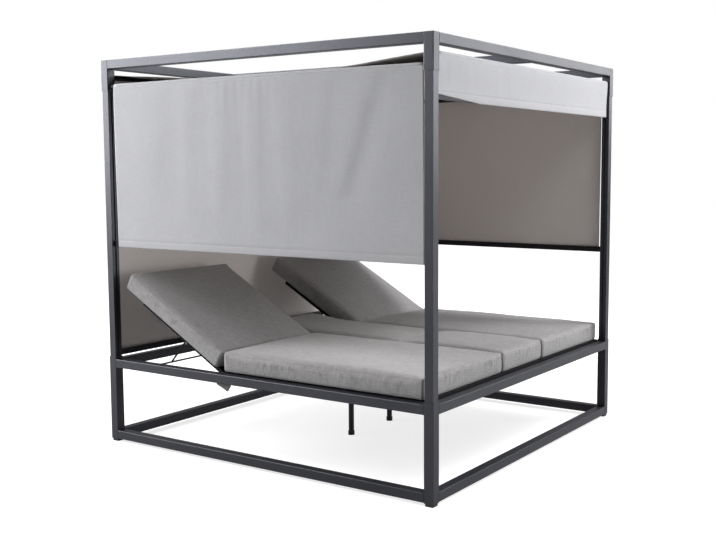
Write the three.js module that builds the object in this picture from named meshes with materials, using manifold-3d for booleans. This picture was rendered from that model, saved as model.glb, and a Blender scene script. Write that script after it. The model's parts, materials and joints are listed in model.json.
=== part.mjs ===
import * as THREE from 'three';
import { mergeVertices } from 'three/addons/utils/BufferGeometryUtils.js';
import Module from 'manifold-3d';

const wasm = await Module();
wasm.setup();

// Outdoor daybed with a sliding cloth canopy. Millimetres, Z up, the floor at zero.
// X runs across the bed, Y from the foot end (minus) to the head end (plus).

// Overall size of the frame
const WIDTH = 2000;
const DEPTH = 2065;
const HEIGHT = 2050;

// Clearances
const SEAT_GAP = 0.3;
const WELD_EMBED = 1;
const CUT_MARGIN = 5;
const WRAP_GAP = 0.6;
const CROSSING_GAP = 0.5;

// Posts: a square base post, a grooved upper post plugged into it, a square top leg over its end
const POST_SIZE = 50;
const POST_WALL = 2.7;
const POST_CORNER = 3;
const BASE_POST_RISE = 12;
const TOP_LEG_LENGTH = 160;
const TOP_LEG_CAP = 4;
const PLUG_LENGTH = 110;
const UPPER_WALL = 2.5;
const UPPER_CORNER = 1.5;
const GROOVE_WIDTH = 9;
const GROOVE_DEPTH = 7;

// Feet under the posts
const FOOT_PAD = 42;
const FOOT_FLANGE = 49;
const FOOT_FLANGE_THICKNESS = 2;
const FOOT_HEIGHT = 15;
const FOOT_PLUG_HEIGHT = 30;

// Rails between the posts and the bar across the roof
const RAIL_HEIGHT = 46;
const RAIL_WALL = 2.5;
const RAIL_CORNER = 3;
const BED_RAIL_BOTTOM = 408;
const ROOF_SCREW_RADIUS = 6;
const ROOF_SCREW_HEIGHT = 2.5;
const ROOF_SCREW_CHAMFER = 1;
const RAIL_SCREW_RADIUS = 4.5;
const RAIL_SCREW_DEPTH = 1;
const RAIL_SCREW_INSET = 378.5;

// Canopy rods, seated in rings on the top legs
const ROD_RADIUS = 13;
const ROD_WALL = 1.5;
const SIDE_ROD_DROP = 139;
const END_ROD_DROP = 89;
const RING_RADIUS = 17;
const RING_LENGTH = 4;

// Weighting bars at the lower edges of the cloths, measured down from the rods
const BAR_THICKNESS = 14;
const BAR_HEIGHT = 30;
const BAR_WALL = 1.5;
const BAR_END_GAP = 4;
const SLIDER_INSIDE = 20;
const SLIDER_DEPTH_GAP = 0.5;
const LEFT_BAR_DROP = 846;
const RIGHT_BAR_DROP = 927;
const FRONT_BAR_DROP = 191;
const REAR_BAR_RISE = 2;

// The two crossing canopy cloths
const CLOTH = 1.6;
const SIDE_CLOTH_FRONT_GAP = 4.5;
const SIDE_CLOTH_REAR_GAP = 32.5;
const LONG_CLOTH_GAP = 13;
const ROOF_SAG = 25;
const CLIMB_LENGTH = 657.5;
const FOLD_DEPTH = 7;
const VALANCE_FOLD_DEPTH = 4;

// Bed decks
const DECK_THICKNESS = 20;
const DECK_SINK = 10.5;
const DECK_EDGE_GAP = 2.5;
const DECK_SPLIT_HALF = 2;
const DECK_SIDE_BAR = 30;
const DECK_SLAT = 50;
const SLAT_THICKNESS = 5;
const LEDGE_WIDTH = 12;
const LEDGE_THICKNESS = 3;

// Beams and legs below the middle of the bed
const BEAM_X = 190;
const BEAM_WIDTH = 40;
const BEAM_RISE = 5;
const BEAM_WALL = 2;
const REST_TAB_UNDERLAP = 4;
const REST_TAB_LENGTH = 25;
const REST_TAB_THICKNESS = 3;
const CENTRE_LEG_RADIUS = 15;
const LEG_CAP_RADIUS = 18;
const LEG_CAP_HEIGHT = 22;
const CROSS_TIE_HEIGHT = 25;
const CROSS_TIE_WIDTH = 40;
const CROSS_TIE_OVERHANG = 15;

// Reclining backs, measured along the back from the hinge and square to it
const BACK_ANGLE = 29.5;
const BACK_EDGE_GAP = 6;
const BACK_INNER_GAP = 40;
const BACK_LENGTH = 634;
const BACK_HEAD_GAP = 86.5;
const BACK_SIDE_BAR = 30;
const BACK_SLAT = 30;
const HINGE_SLAT_START = 22;
const LUG_SLAT_LEAD = 15;
const HINGE_PIN_RADIUS = 5;
const HINGE_PIN_LENGTH = 12;
const HINGE_EAR = 10;
const HINGE_EYE_RADIUS = 8.5;
const HINGE_SIDE_GAP = 0.5;
const HINGE_TO_SEAT_DECK = 22;
const PIN_CLEARANCE = 0.3;

// Prop stays under the backs and the toothed racks that carry their feet
const STAY_RADIUS = 5;
const STAY_PIVOT_FROM_END = 278;
const STAY_PIVOT_BELOW = 18;
const STAY_LENGTH_SHARE = 0.66573;
const STAY_TURN_PER_RECLINE = 1.637;
const STAY_ARM_INSET = 119;
const STAY_FOOT_GAP = 20;
const STAY_FOOT_INNER_GAP = 2;
const STAY_PIN_REACH = 15;
const LUG_THICKNESS = 4;
const LUG_OFFSET = 7;
const LUG_RADIUS = 9;
const RACK_OUTER_GAP = 22;
const RACK_THICKNESS = 4;
const INNER_RACK_REACH = 6;
const RACK_WEB_THICKNESS = 3;
const RACK_WEB_RISE = 2;
const RACK_END_MARGIN = 12;
const TOOTH_HALF_WIDTH = 2;
const TOOTH_DEPTH = 3.5;
const TOOTH_GAP = 0.6;

// Cushions
const CUSHION_SIDE = 100;
const CUSHION_CROWN = 16;
const CUSHION_OVERHANG = 12;
const CUSHION_FRONT_INSET = 20.5;
const SEAT_CUSHION_SETBACK = 34;
const CENTRE_CUSHION_OVERLAP = 33;
const CENTRE_CUSHION_GAP = 6;
const FRONT_CENTRE_LENGTH = 610;
const CENTRE_SPLIT_GAP = 9;
const REAR_CENTRE_PAST_HINGE = 343;
const BACK_CUSHION_START = 24;
const BACK_CUSHION_PAST_FRAME = 140;
const BACK_CUSHION_SIDE = 92;
const BACK_CUSHION_CROWN = 13;
const CUSHION_CORNER = 26;
const CUSHION_SIDE_DRAW = 4;
const CUSHION_EDGE_ROUND = 8;

// Places worked out from the sizes: posts and rails
const POST_X = (WIDTH - POST_SIZE) / 2;
const POST_Y = (DEPTH - POST_SIZE) / 2;
const FACE_X = POST_X - POST_SIZE / 2;
const FACE_Y = POST_Y - POST_SIZE / 2;
const POST_HOLE = POST_SIZE - 2 * POST_WALL;
const UPPER_SIZE = POST_HOLE - 2 * SEAT_GAP;
const UPPER_FACE_X = POST_X - UPPER_SIZE / 2;
const UPPER_FACE_Y = POST_Y - UPPER_SIZE / 2;
const BED_RAIL_TOP = BED_RAIL_BOTTOM + RAIL_HEIGHT;
const BASE_POST_TOP = BED_RAIL_TOP + BASE_POST_RISE;
const TOP_LEG_BOTTOM = HEIGHT - TOP_LEG_LENGTH;
const RAIL_SCREW_Z = BED_RAIL_BOTTOM + RAIL_HEIGHT / 2;
const RAIL_SCREW_Y = FACE_Y - RAIL_SCREW_INSET;

// Places: canopy
const SIDE_ROD_Z = HEIGHT - SIDE_ROD_DROP;
const END_ROD_Z = HEIGHT - END_ROD_DROP;
const LEFT_BAR_Z = SIDE_ROD_Z - LEFT_BAR_DROP;
const RIGHT_BAR_Z = SIDE_ROD_Z - RIGHT_BAR_DROP;
const FRONT_BAR_Z = END_ROD_Z - FRONT_BAR_DROP;
const REAR_BAR_Z = BASE_POST_TOP + REAR_BAR_RISE;
const SIDE_CLOTH_FRONT = -(FACE_Y - SIDE_CLOTH_FRONT_GAP);
const SIDE_CLOTH_REAR = FACE_Y - SIDE_CLOTH_REAR_GAP;
const SIDE_CLOTH_ENDS = [SIDE_CLOTH_FRONT, SIDE_CLOTH_REAR];
const LONG_CLOTH_HALF = UPPER_FACE_X - LONG_CLOTH_GAP;
const LONG_CLOTH_ENDS = [-LONG_CLOTH_HALF, LONG_CLOTH_HALF];
const LAY_HALF = POST_Y - CLIMB_LENGTH;
const WRAP_RADIUS = ROD_RADIUS + WRAP_GAP + CLOTH / 2;

// Places: decks, beams and backs
const DECK_BOTTOM = BED_RAIL_TOP - DECK_SINK;
const DECK_TOP = DECK_BOTTOM + DECK_THICKNESS;
const SUPPORT_TOP = DECK_BOTTOM - SEAT_GAP;
const DECK_REACH_Y = FACE_Y - DECK_EDGE_GAP;
const DECK_OUTER_X = FACE_X - DECK_EDGE_GAP;
const DECK_INNER_X = BEAM_X + DECK_SPLIT_HALF;
const CENTRE_DECK_HALF = BEAM_X - DECK_SPLIT_HALF;
const BEAM_BOTTOM = BED_RAIL_BOTTOM + BEAM_RISE;
const BEAM_FACE = BEAM_X + BEAM_WIDTH / 2;
const HINGE_Y = FACE_Y - BACK_LENGTH - BACK_HEAD_GAP;
const HINGE_Z = DECK_BOTTOM + DECK_THICKNESS / 2;
const HINGE_HOLE_RADIUS = HINGE_PIN_RADIUS + PIN_CLEARANCE;
const SEAT_DECK_END = HINGE_Y - HINGE_TO_SEAT_DECK;
const BACK_OUTER_X = FACE_X - BACK_EDGE_GAP;
const BACK_INNER_X = DECK_INNER_X + BACK_INNER_GAP;
const REST_TAB_X = BACK_INNER_X + REST_TAB_UNDERLAP;
const REST_TAB_REAR = HINGE_Y + BACK_LENGTH - WELD_EMBED;
const REST_TAB_FRONT = REST_TAB_REAR - REST_TAB_LENGTH;

// Places: stays and racks
const STAY_PIVOT_ALONG = BACK_LENGTH - STAY_PIVOT_FROM_END;
const STAY_LENGTH = STAY_PIVOT_ALONG * STAY_LENGTH_SHARE;
const LUG_SLAT_START = STAY_PIVOT_ALONG - LUG_SLAT_LEAD;
const STAY_ARM_X = BACK_OUTER_X - STAY_ARM_INSET;
const STAY_FOOT_OUTER_X = FACE_X - STAY_FOOT_GAP;
const STAY_FOOT_INNER_X = BEAM_FACE + STAY_FOOT_INNER_GAP;
const RACK_OUTER_X = FACE_X - RACK_OUTER_GAP;
const INNER_RACK_X = BEAM_FACE + INNER_RACK_REACH;
const RACK_WEB_Z = BED_RAIL_BOTTOM + RACK_WEB_RISE;
const RACK_TOP = SUPPORT_TOP - SEAT_GAP;
const BACK_ANGLE_RAD = THREE.MathUtils.degToRad(BACK_ANGLE);
const TOOTH_STOPS = [10, 20, BACK_ANGLE, 38];

// Places: cushions
const CUSHION_BOTTOM = DECK_TOP + SEAT_GAP;
const CUSHION_OUTER_X = FACE_X + CUSHION_OVERHANG;
const CENTRE_CUSHION_HALF = CENTRE_DECK_HALF + CENTRE_CUSHION_OVERLAP;
const CUSHION_INNER_X = CENTRE_CUSHION_HALF + CENTRE_CUSHION_GAP;
const CUSHION_FRONT = -(FACE_Y - CUSHION_FRONT_INSET);
const SEAT_CUSHION_END = HINGE_Y - SEAT_CUSHION_SETBACK;
const FRONT_CENTRE_END = CUSHION_FRONT + FRONT_CENTRE_LENGTH;
const REAR_CENTRE_START = FRONT_CENTRE_END + CENTRE_SPLIT_GAP;
const REAR_CENTRE_END = HINGE_Y + REAR_CENTRE_PAST_HINGE;
const BACK_CUSHION_END = BACK_LENGTH + BACK_CUSHION_PAST_FRAME;

// Counts
const CORNER_STEPS = 2;
const ROUND_SIDES = 24;
const PIN_SIDES = 12;
const SEAT_GAPS = 9;
const CENTRE_GAPS = 14;
const BACK_BAY_GAPS = 3;
const SIDES = [-1, 1];

const paint = (name, color, roughness, metalness) =>
  new THREE.MeshStandardMaterial({ name, color, roughness, metalness });

// Solids and booleans

function toSolid(geometry) {
  const bare = new THREE.BufferGeometry();
  bare.setAttribute('position', geometry.getAttribute('position').clone());
  if (geometry.index) bare.setIndex(geometry.index.clone());
  const joined = mergeVertices(bare);
  return new wasm.Manifold(new wasm.Mesh({
    numProp: 3,
    vertProperties: Float32Array.from(joined.getAttribute('position').array),
    triVerts: Uint32Array.from(joined.index.array),
  }));
}

function toGeometry(solid) {
  const mesh = solid.getMesh();
  const geometry = new THREE.BufferGeometry();
  geometry.setAttribute('position', new THREE.BufferAttribute(Float32Array.from(mesh.vertProperties), 3));
  geometry.setIndex(Array.from(mesh.triVerts));
  geometry.computeVertexNormals();
  return geometry;
}

const union = (first, ...others) => others.reduce((sum, other) => sum.add(other), first);
const cut = (first, ...others) => others.reduce((rest, other) => rest.subtract(other), first);

// A box given by its two limits on each axis, in any order
function block([xa, xb], [ya, yb], [za, zb]) {
  const box = new THREE.BoxGeometry(Math.abs(xb - xa), Math.abs(yb - ya), Math.abs(zb - za));
  box.translate((xa + xb) / 2, (ya + yb) / 2, (za + zb) / 2);
  return toSolid(box);
}

// Corner points [x, y, radius]; a corner with a radius becomes an arc
function outline(corners) {
  const points = [];
  corners.forEach(([x, y, radius], index) => {
    const here = new THREE.Vector2(x, y);
    if (!radius) {
      points.push(here);
      return;
    }
    const before = corners[(index + corners.length - 1) % corners.length];
    const after = corners[(index + 1) % corners.length];
    const back = new THREE.Vector2(before[0] - x, before[1] - y).setLength(radius);
    const ahead = new THREE.Vector2(after[0] - x, after[1] - y).setLength(radius);
    for (let step = 0; step <= CORNER_STEPS; step += 1) {
      const turn = (step / CORNER_STEPS) * (Math.PI / 2);
      points.push(here.clone()
        .addScaledVector(back, 1 - Math.sin(turn))
        .addScaledVector(ahead, 1 - Math.cos(turn)));
    }
  });
  return points;
}

function rectangle(width, height, radius = 0) {
  const x = width / 2;
  const y = height / 2;
  return outline([[-x, -y, radius], [x, -y, radius], [x, y, radius], [-x, y, radius]]);
}

function circle(radius, sides, x = 0, y = 0) {
  return Array.from({ length: sides }, (_, index) => {
    const turn = (index / sides) * Math.PI * 2;
    return new THREE.Vector2(x + radius * Math.cos(turn), y + radius * Math.sin(turn));
  });
}

// A section pushed along X, Y or Z between two limits. Along X the section is (Y, Z),
// along Y it is (X, Z) and along Z it is (X, Y).
function extrusion(points, holes, axis, from, to) {
  const ordered = (loop) => (THREE.ShapeUtils.isClockWise(loop) ? [...loop].reverse() : loop);
  const shape = new THREE.Shape(ordered(points));
  holes.forEach((hole) => shape.holes.push(new THREE.Path(ordered(hole))));
  const geometry = new THREE.ExtrudeGeometry(shape, { depth: to - from, bevelEnabled: false, steps: 1 });
  if (axis === 'z') geometry.translate(0, 0, from);
  if (axis === 'y') geometry.rotateX(Math.PI / 2).translate(0, to, 0);
  if (axis === 'x') {
    geometry.rotateX(Math.PI / 2).rotateZ(Math.PI / 2).translate(from, 0, 0);
  }
  return toSolid(geometry);
}

function cylinder(radius, sides, axis, from, to, centre) {
  return extrusion(circle(radius, sides, centre[0], centre[1]), [], axis, from, to);
}

// A round rod between any two points
function rodBetween(start, end, radius) {
  const length = start.distanceTo(end);
  const geometry = new THREE.CylinderGeometry(radius, radius, length, PIN_SIDES);
  geometry.translate(0, length / 2, 0);
  const direction = end.clone().sub(start).normalize();
  geometry.applyQuaternion(new THREE.Quaternion().setFromUnitVectors(new THREE.Vector3(0, 1, 0), direction));
  geometry.translate(start.x, start.y, start.z);
  return toSolid(geometry);
}

// Posts

function basePost(x, y) {
  const solid = extrusion(
    rectangle(POST_SIZE, POST_SIZE, POST_CORNER),
    [rectangle(POST_HOLE, POST_HOLE)],
    'z',
    FOOT_HEIGHT,
    BASE_POST_TOP,
  );
  return solid.translate([x * POST_X, y * POST_Y, 0]);
}

// The grooves are cut in the two faces that look into the bed
function upperPost(x, y) {
  const half = UPPER_SIZE / 2;
  const side = GROOVE_WIDTH / 2;
  const floor = half - GROOVE_DEPTH;
  const r = UPPER_CORNER;
  const outer = outline([
    [-half, -half, r], [half, -half, r],
    [half, -side, 0], [floor, -side, 0], [floor, side, 0], [half, side, 0],
    [half, half, r],
    [side, half, 0], [side, floor, 0], [-side, floor, 0], [-side, half, 0],
    [-half, half, r],
  ]);
  const wall = half - UPPER_WALL;
  const bay = side + UPPER_WALL;
  const shelf = floor - UPPER_WALL;
  const inner = outline([
    [-wall, -wall, 0], [wall, -wall, 0],
    [wall, -bay, 0], [shelf, -bay, 0], [shelf, bay, 0], [wall, bay, 0],
    [wall, wall, 0],
    [bay, wall, 0], [bay, shelf, 0], [-bay, shelf, 0], [-bay, wall, 0],
    [-wall, wall, 0],
  ]);
  const turned = (points) => points.map((point) => new THREE.Vector2(-x * point.x, -y * point.y));
  const solid = extrusion(
    turned(outer),
    [turned(inner)],
    'z',
    BASE_POST_TOP - PLUG_LENGTH,
    TOP_LEG_BOTTOM + PLUG_LENGTH,
  );
  return solid.translate([x * POST_X, y * POST_Y, 0]);
}

function ring(axis, faceAt, side, centre) {
  const inside = side * (faceAt + WELD_EMBED);
  const mouth = side * (faceAt - RING_LENGTH);
  return extrusion(
    circle(RING_RADIUS, ROUND_SIDES, centre[0], centre[1]),
    [circle(ROD_RADIUS + SEAT_GAP, ROUND_SIDES, centre[0], centre[1])],
    axis,
    Math.min(inside, mouth),
    Math.max(inside, mouth),
  );
}

// A hollow square leg, closed on top, with a ring on each inward face to hold a rod
function topLeg(x, y) {
  const shell = extrusion(rectangle(POST_SIZE, POST_SIZE, POST_CORNER), [], 'z', TOP_LEG_BOTTOM, HEIGHT);
  const hollow = extrusion(
    rectangle(POST_HOLE, POST_HOLE),
    [],
    'z',
    TOP_LEG_BOTTOM - CUT_MARGIN,
    HEIGHT - TOP_LEG_CAP,
  );
  const leg = cut(shell, hollow).translate([x * POST_X, y * POST_Y, 0]);
  return union(
    leg,
    ring('y', FACE_Y, y, [x * POST_X, SIDE_ROD_Z]),
    ring('x', FACE_X, x, [y * POST_Y, END_ROD_Z]),
  );
}

// A pad on the floor, a flange that the post stands on and a plug inside the post
function foot(x, y) {
  const shoulder = FOOT_HEIGHT - SEAT_GAP;
  const pad = rectangle(FOOT_PAD, FOOT_PAD, POST_CORNER);
  const flange = rectangle(FOOT_FLANGE, FOOT_FLANGE, POST_CORNER);
  const plug = rectangle(UPPER_SIZE, UPPER_SIZE, UPPER_CORNER);
  const solid = union(
    extrusion(pad, [], 'z', 0, shoulder),
    extrusion(flange, [], 'z', shoulder - FOOT_FLANGE_THICKNESS, shoulder),
    extrusion(plug, [], 'z', shoulder - WELD_EMBED, shoulder + FOOT_PLUG_HEIGHT),
  );
  return solid.translate([x * POST_X, y * POST_Y, 0]);
}

// Rails

function rail(axis, from, to, acrossAt, bottom) {
  const hole = rectangle(POST_SIZE - 2 * RAIL_WALL, RAIL_HEIGHT - 2 * RAIL_WALL);
  const tube = extrusion(rectangle(POST_SIZE, RAIL_HEIGHT, RAIL_CORNER), [hole], axis, from, to);
  const middle = bottom + RAIL_HEIGHT / 2;
  return axis === 'x' ? tube.translate([0, acrossAt, middle]) : tube.translate([acrossAt, 0, middle]);
}

const endRail = (y, bottom) => rail('x', -FACE_X + SEAT_GAP, FACE_X - SEAT_GAP, y * POST_Y, bottom);
const sideRail = (x, bottom) => rail('y', -FACE_Y + SEAT_GAP, FACE_Y - SEAT_GAP, x * POST_X, bottom);
const roofBar = () => rail('y', -FACE_Y + SEAT_GAP, FACE_Y - SEAT_GAP, 0, HEIGHT - RAIL_HEIGHT);

// The screw that holds the roof bar has its head on the top face of the rail
function topEndRail(y) {
  const profile = [
    new THREE.Vector2(0, -WELD_EMBED),
    new THREE.Vector2(ROOF_SCREW_RADIUS, -WELD_EMBED),
    new THREE.Vector2(ROOF_SCREW_RADIUS, ROOF_SCREW_HEIGHT - ROOF_SCREW_CHAMFER),
    new THREE.Vector2(ROOF_SCREW_RADIUS - ROOF_SCREW_CHAMFER, ROOF_SCREW_HEIGHT),
    new THREE.Vector2(0, ROOF_SCREW_HEIGHT),
  ];
  const head = new THREE.LatheGeometry(profile, PIN_SIDES).rotateX(Math.PI / 2);
  const screw = toSolid(head).translate([0, y * POST_Y, HEIGHT]);
  return union(endRail(y, HEIGHT - RAIL_HEIGHT), screw);
}

// Where the foot of the stay is while the back stands at a given angle: [Y, Z]
function stayFoot(degrees) {
  const back = THREE.MathUtils.degToRad(degrees);
  const stay = THREE.MathUtils.degToRad(degrees * STAY_TURN_PER_RECLINE);
  const along = STAY_PIVOT_ALONG * Math.cos(back) + STAY_PIVOT_BELOW * Math.sin(back);
  const up = STAY_PIVOT_ALONG * Math.sin(back) - STAY_PIVOT_BELOW * Math.cos(back);
  return [
    HINGE_Y + along + STAY_LENGTH * Math.cos(stay),
    HINGE_Z + up - STAY_LENGTH * Math.sin(stay),
  ];
}

// A rack plate: one tooth under the foot of the stay at each raised stop of the back
function rackPlate(bottom, xFrom, xTo) {
  const stops = [...TOOTH_STOPS].reverse();
  const crest = [];
  stops.forEach((stop, index) => {
    const [y, z] = stayFoot(stop);
    const top = Math.min(z - STAY_RADIUS - TOOTH_GAP, RACK_TOP);
    crest.push([y - TOOTH_HALF_WIDTH, top, 0], [y + TOOTH_HALF_WIDTH, top, 0]);
    if (index < stops.length - 1) {
      const [nextY, nextZ] = stayFoot((stop + stops[index + 1]) / 2);
      crest.push([nextY, nextZ - STAY_RADIUS - TOOTH_DEPTH, 0]);
    }
  });
  const first = crest[0];
  const last = crest[crest.length - 1];
  const corners = [
    [first[0] - RACK_END_MARGIN, bottom, 0],
    [last[0] + RACK_END_MARGIN, bottom, 0],
    [last[0] + RACK_END_MARGIN, last[1] - TOOTH_DEPTH, 0],
    ...crest.reverse(),
    [first[0] - RACK_END_MARGIN, first[1] - TOOTH_DEPTH, 0],
  ];
  return extrusion(outline(corners), [], 'x', Math.min(xFrom, xTo), Math.max(xFrom, xTo));
}

// The side rail of the bed carries a ledge for the deck and the outer rack of the stay
function sideBedRail(x) {
  const from = x * (FACE_X + WELD_EMBED);
  const ends = [-FACE_Y + SEAT_GAP, FACE_Y - SEAT_GAP];
  const ledge = block([from, x * (FACE_X - LEDGE_WIDTH)], ends, [SUPPORT_TOP - LEDGE_THICKNESS, SUPPORT_TOP]);
  const rackEnds = [
    stayFoot(TOOTH_STOPS[TOOTH_STOPS.length - 1])[0] - TOOTH_HALF_WIDTH - RACK_END_MARGIN,
    stayFoot(TOOTH_STOPS[0])[0] + TOOTH_HALF_WIDTH + RACK_END_MARGIN,
  ];
  const rackInner = x * (RACK_OUTER_X - RACK_THICKNESS);
  const web = block([from, rackInner], rackEnds, [RACK_WEB_Z, RACK_WEB_Z + RACK_WEB_THICKNESS]);
  const plate = rackPlate(RACK_WEB_Z, x * RACK_OUTER_X, rackInner);
  const outerFace = WIDTH / 2;
  const recesses = SIDES.map((y) => cylinder(
    RAIL_SCREW_RADIUS,
    PIN_SIDES,
    'x',
    x > 0 ? outerFace - RAIL_SCREW_DEPTH : -outerFace - CUT_MARGIN,
    x > 0 ? outerFace + CUT_MARGIN : -outerFace + RAIL_SCREW_DEPTH,
    [y * RAIL_SCREW_Y, RAIL_SCREW_Z],
  ));
  return cut(union(sideRail(x, BED_RAIL_BOTTOM), ledge, web, plate), ...recesses);
}

// Beam along the bed below the joint of the decks, with the inner rack and a rest for the flat back
function beam(x) {
  const height = SUPPORT_TOP - BEAM_BOTTOM;
  const hole = rectangle(BEAM_WIDTH - 2 * BEAM_WALL, height - 2 * BEAM_WALL);
  const tube = extrusion(
    rectangle(BEAM_WIDTH, height),
    [hole],
    'y',
    -FACE_Y + SEAT_GAP,
    FACE_Y - SEAT_GAP,
  ).translate([x * BEAM_X, 0, BEAM_BOTTOM + height / 2]);
  const side = x * (BEAM_FACE - WELD_EMBED);
  const plate = rackPlate(BEAM_BOTTOM, side, x * INNER_RACK_X);
  const tab = block(
    [side, x * REST_TAB_X],
    [REST_TAB_FRONT, REST_TAB_REAR],
    [SUPPORT_TOP - REST_TAB_THICKNESS, SUPPORT_TOP],
  );
  return union(tube, plate, tab);
}

// Two round legs with wider caps, tied by a flat bar just below the beams
function centreSupport() {
  const top = BEAM_BOTTOM - SEAT_GAP;
  const legs = SIDES.flatMap((x) => [
    cylinder(CENTRE_LEG_RADIUS, ROUND_SIDES, 'z', 0, top, [x * BEAM_X, 0]),
    cylinder(LEG_CAP_RADIUS, ROUND_SIDES, 'z', 0, LEG_CAP_HEIGHT, [x * BEAM_X, 0]),
  ]);
  const reach = BEAM_X + CROSS_TIE_OVERHANG;
  const tie = block(
    [-reach, reach],
    [-CROSS_TIE_WIDTH / 2, CROSS_TIE_WIDTH / 2],
    [top - CROSS_TIE_HEIGHT, top],
  );
  return union(tie, ...legs);
}

// Canopy rods and bars

function rod(axis, reach, centre) {
  return extrusion(
    circle(ROD_RADIUS, ROUND_SIDES, centre[0], centre[1]),
    [circle(ROD_RADIUS - ROD_WALL, ROUND_SIDES, centre[0], centre[1])],
    axis,
    -reach,
    reach,
  );
}

const sideRod = (x) => rod('y', FACE_Y - SEAT_GAP, [x * POST_X, SIDE_ROD_Z]);
const endRod = (y) => rod('x', FACE_X - SEAT_GAP, [y * POST_Y, END_ROD_Z]);

// A flat hollow bar with a tongue at each end that runs in the groove of the upper post
function weightBar(axis, faceAt, acrossAt, bottom) {
  const reach = faceAt - BAR_END_GAP;
  const tongueReach = faceAt + GROOVE_DEPTH - SLIDER_DEPTH_GAP;
  const tube = extrusion(
    rectangle(BAR_THICKNESS, BAR_HEIGHT),
    [rectangle(BAR_THICKNESS - 2 * BAR_WALL, BAR_HEIGHT - 2 * BAR_WALL)],
    axis,
    -reach,
    reach,
  );
  const tongueSection = rectangle(GROOVE_WIDTH - 2 * SEAT_GAP, BAR_HEIGHT);
  const tongues = SIDES.map((side) => extrusion(
    tongueSection,
    [],
    axis,
    side > 0 ? reach - SLIDER_INSIDE : -tongueReach,
    side > 0 ? tongueReach : -reach + SLIDER_INSIDE,
  ));
  const middle = bottom + BAR_HEIGHT / 2;
  return union(tube, ...tongues).translate(axis === 'x' ? [0, acrossAt, middle] : [acrossAt, 0, middle]);
}

// Cloth: a thin closed solid around a grid of points

// Slope along one grid direction, kept exact at the borders
function slope(at, index, last) {
  if (index === 0) return at(0).multiplyScalar(-3).addScaledVector(at(1), 4).sub(at(2));
  if (index === last) return at(last).multiplyScalar(3).addScaledVector(at(last - 1), -4).add(at(last - 2));
  return at(index + 1).sub(at(index - 1));
}

function thinSolid(columns, rows, middle) {
  const positions = [];
  const indices = [];
  const perLayer = (columns + 1) * (rows + 1);
  const id = (i, j, layer) => layer * perLayer + j * (columns + 1) + i;
  for (const side of [1, -1]) {
    for (let j = 0; j <= rows; j += 1) {
      for (let i = 0; i <= columns; i += 1) {
        const across = slope((n) => middle(n, j), i, columns);
        const down = slope((n) => middle(i, n), j, rows);
        const normal = across.cross(down).normalize();
        const point = middle(i, j).addScaledVector(normal, (side * CLOTH) / 2);
        positions.push(point.x, point.y, point.z);
      }
    }
  }
  const quad = (a, b, c, d) => indices.push(a, b, c, a, c, d);
  for (let j = 0; j < rows; j += 1) {
    for (let i = 0; i < columns; i += 1) {
      quad(id(i, j, 0), id(i + 1, j, 0), id(i + 1, j + 1, 0), id(i, j + 1, 0));
      quad(id(i, j, 1), id(i, j + 1, 1), id(i + 1, j + 1, 1), id(i + 1, j, 1));
    }
  }
  for (let i = 0; i < columns; i += 1) {
    quad(id(i, 0, 1), id(i + 1, 0, 1), id(i + 1, 0, 0), id(i, 0, 0));
    quad(id(i, rows, 0), id(i + 1, rows, 0), id(i + 1, rows, 1), id(i, rows, 1));
  }
  for (let j = 0; j < rows; j += 1) {
    quad(id(0, j, 0), id(0, j + 1, 0), id(0, j + 1, 1), id(0, j, 1));
    quad(id(columns, j, 1), id(columns, j + 1, 1), id(columns, j + 1, 0), id(columns, j, 0));
  }
  const geometry = new THREE.BufferGeometry();
  geometry.setAttribute('position', new THREE.Float32BufferAttribute(positions, 3));
  geometry.setIndex(indices);
  return toSolid(geometry);
}

// Path of a roof cloth over its two rods: [distance from the middle, height, share of the wrap]
function overRods(reach, rodZ, arcSteps, spanSteps) {
  const arc = Array.from({ length: arcSteps + 1 }, (_, step) => {
    const turn = (step / arcSteps) * (Math.PI / 2);
    return [reach + WRAP_RADIUS * Math.cos(turn), rodZ + WRAP_RADIUS * Math.sin(turn), true];
  });
  const span = Array.from({ length: spanSteps - 1 }, (_, step) => {
    const share = (step + 1) / spanSteps;
    return [reach * (2 * share - 1), rodZ + WRAP_RADIUS, false];
  });
  const left = arc.map(([along, height, wrapped]) => [-along, height, wrapped]);
  return [...left, ...span, ...arc.reverse()];
}

const sagAt = (x) => ROOF_SAG * (1 - (x / POST_X) ** 2);

function sideRoofCloth(columns) {
  const path = overRods(POST_X, SIDE_ROD_Z, 4, 14);
  return thinSolid(path.length - 1, columns, (i, j) => {
    const [x, height, wrapped] = path[i];
    const y = SIDE_CLOTH_FRONT + (SIDE_CLOTH_REAR - SIDE_CLOTH_FRONT) * (j / columns);
    return new THREE.Vector3(x, y, wrapped ? height : height - sagAt(x));
  });
}

// The long cloth lies on the side cloth in the middle and climbs to its own higher rods
function longRoofCloth(columns) {
  const path = overRods(POST_Y, END_ROD_Z, 4, 16);
  const layTop = SIDE_ROD_Z + WRAP_RADIUS + CLOTH + CROSSING_GAP;
  return thinSolid(columns, path.length - 1, (i, j) => {
    const [y, height, wrapped] = path[j];
    const x = LONG_CLOTH_HALF * (2 * (i / columns) - 1);
    if (wrapped) return new THREE.Vector3(x, y, height);
    const low = layTop - sagAt(x);
    const climb = Math.max(0, (Math.abs(y) - LAY_HALF) / (POST_Y - LAY_HALF));
    return new THREE.Vector3(x, y, low + (height - low) * climb);
  });
}

// Waves of a hanging cloth: [how many across, drift on the way down, share of the depth]
const pleatShares = [[9, 0.15, 0.55], [15, -0.25, 0.3], [4, 0.6, 0.35]];

function foldAt(across, down) {
  const wave = pleatShares.reduce(
    (sum, [count, drift, share]) => sum + share * Math.sin(2 * Math.PI * (count * across + drift * down)),
    0,
  );
  return wave * Math.sin(Math.PI * down);
}

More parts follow.
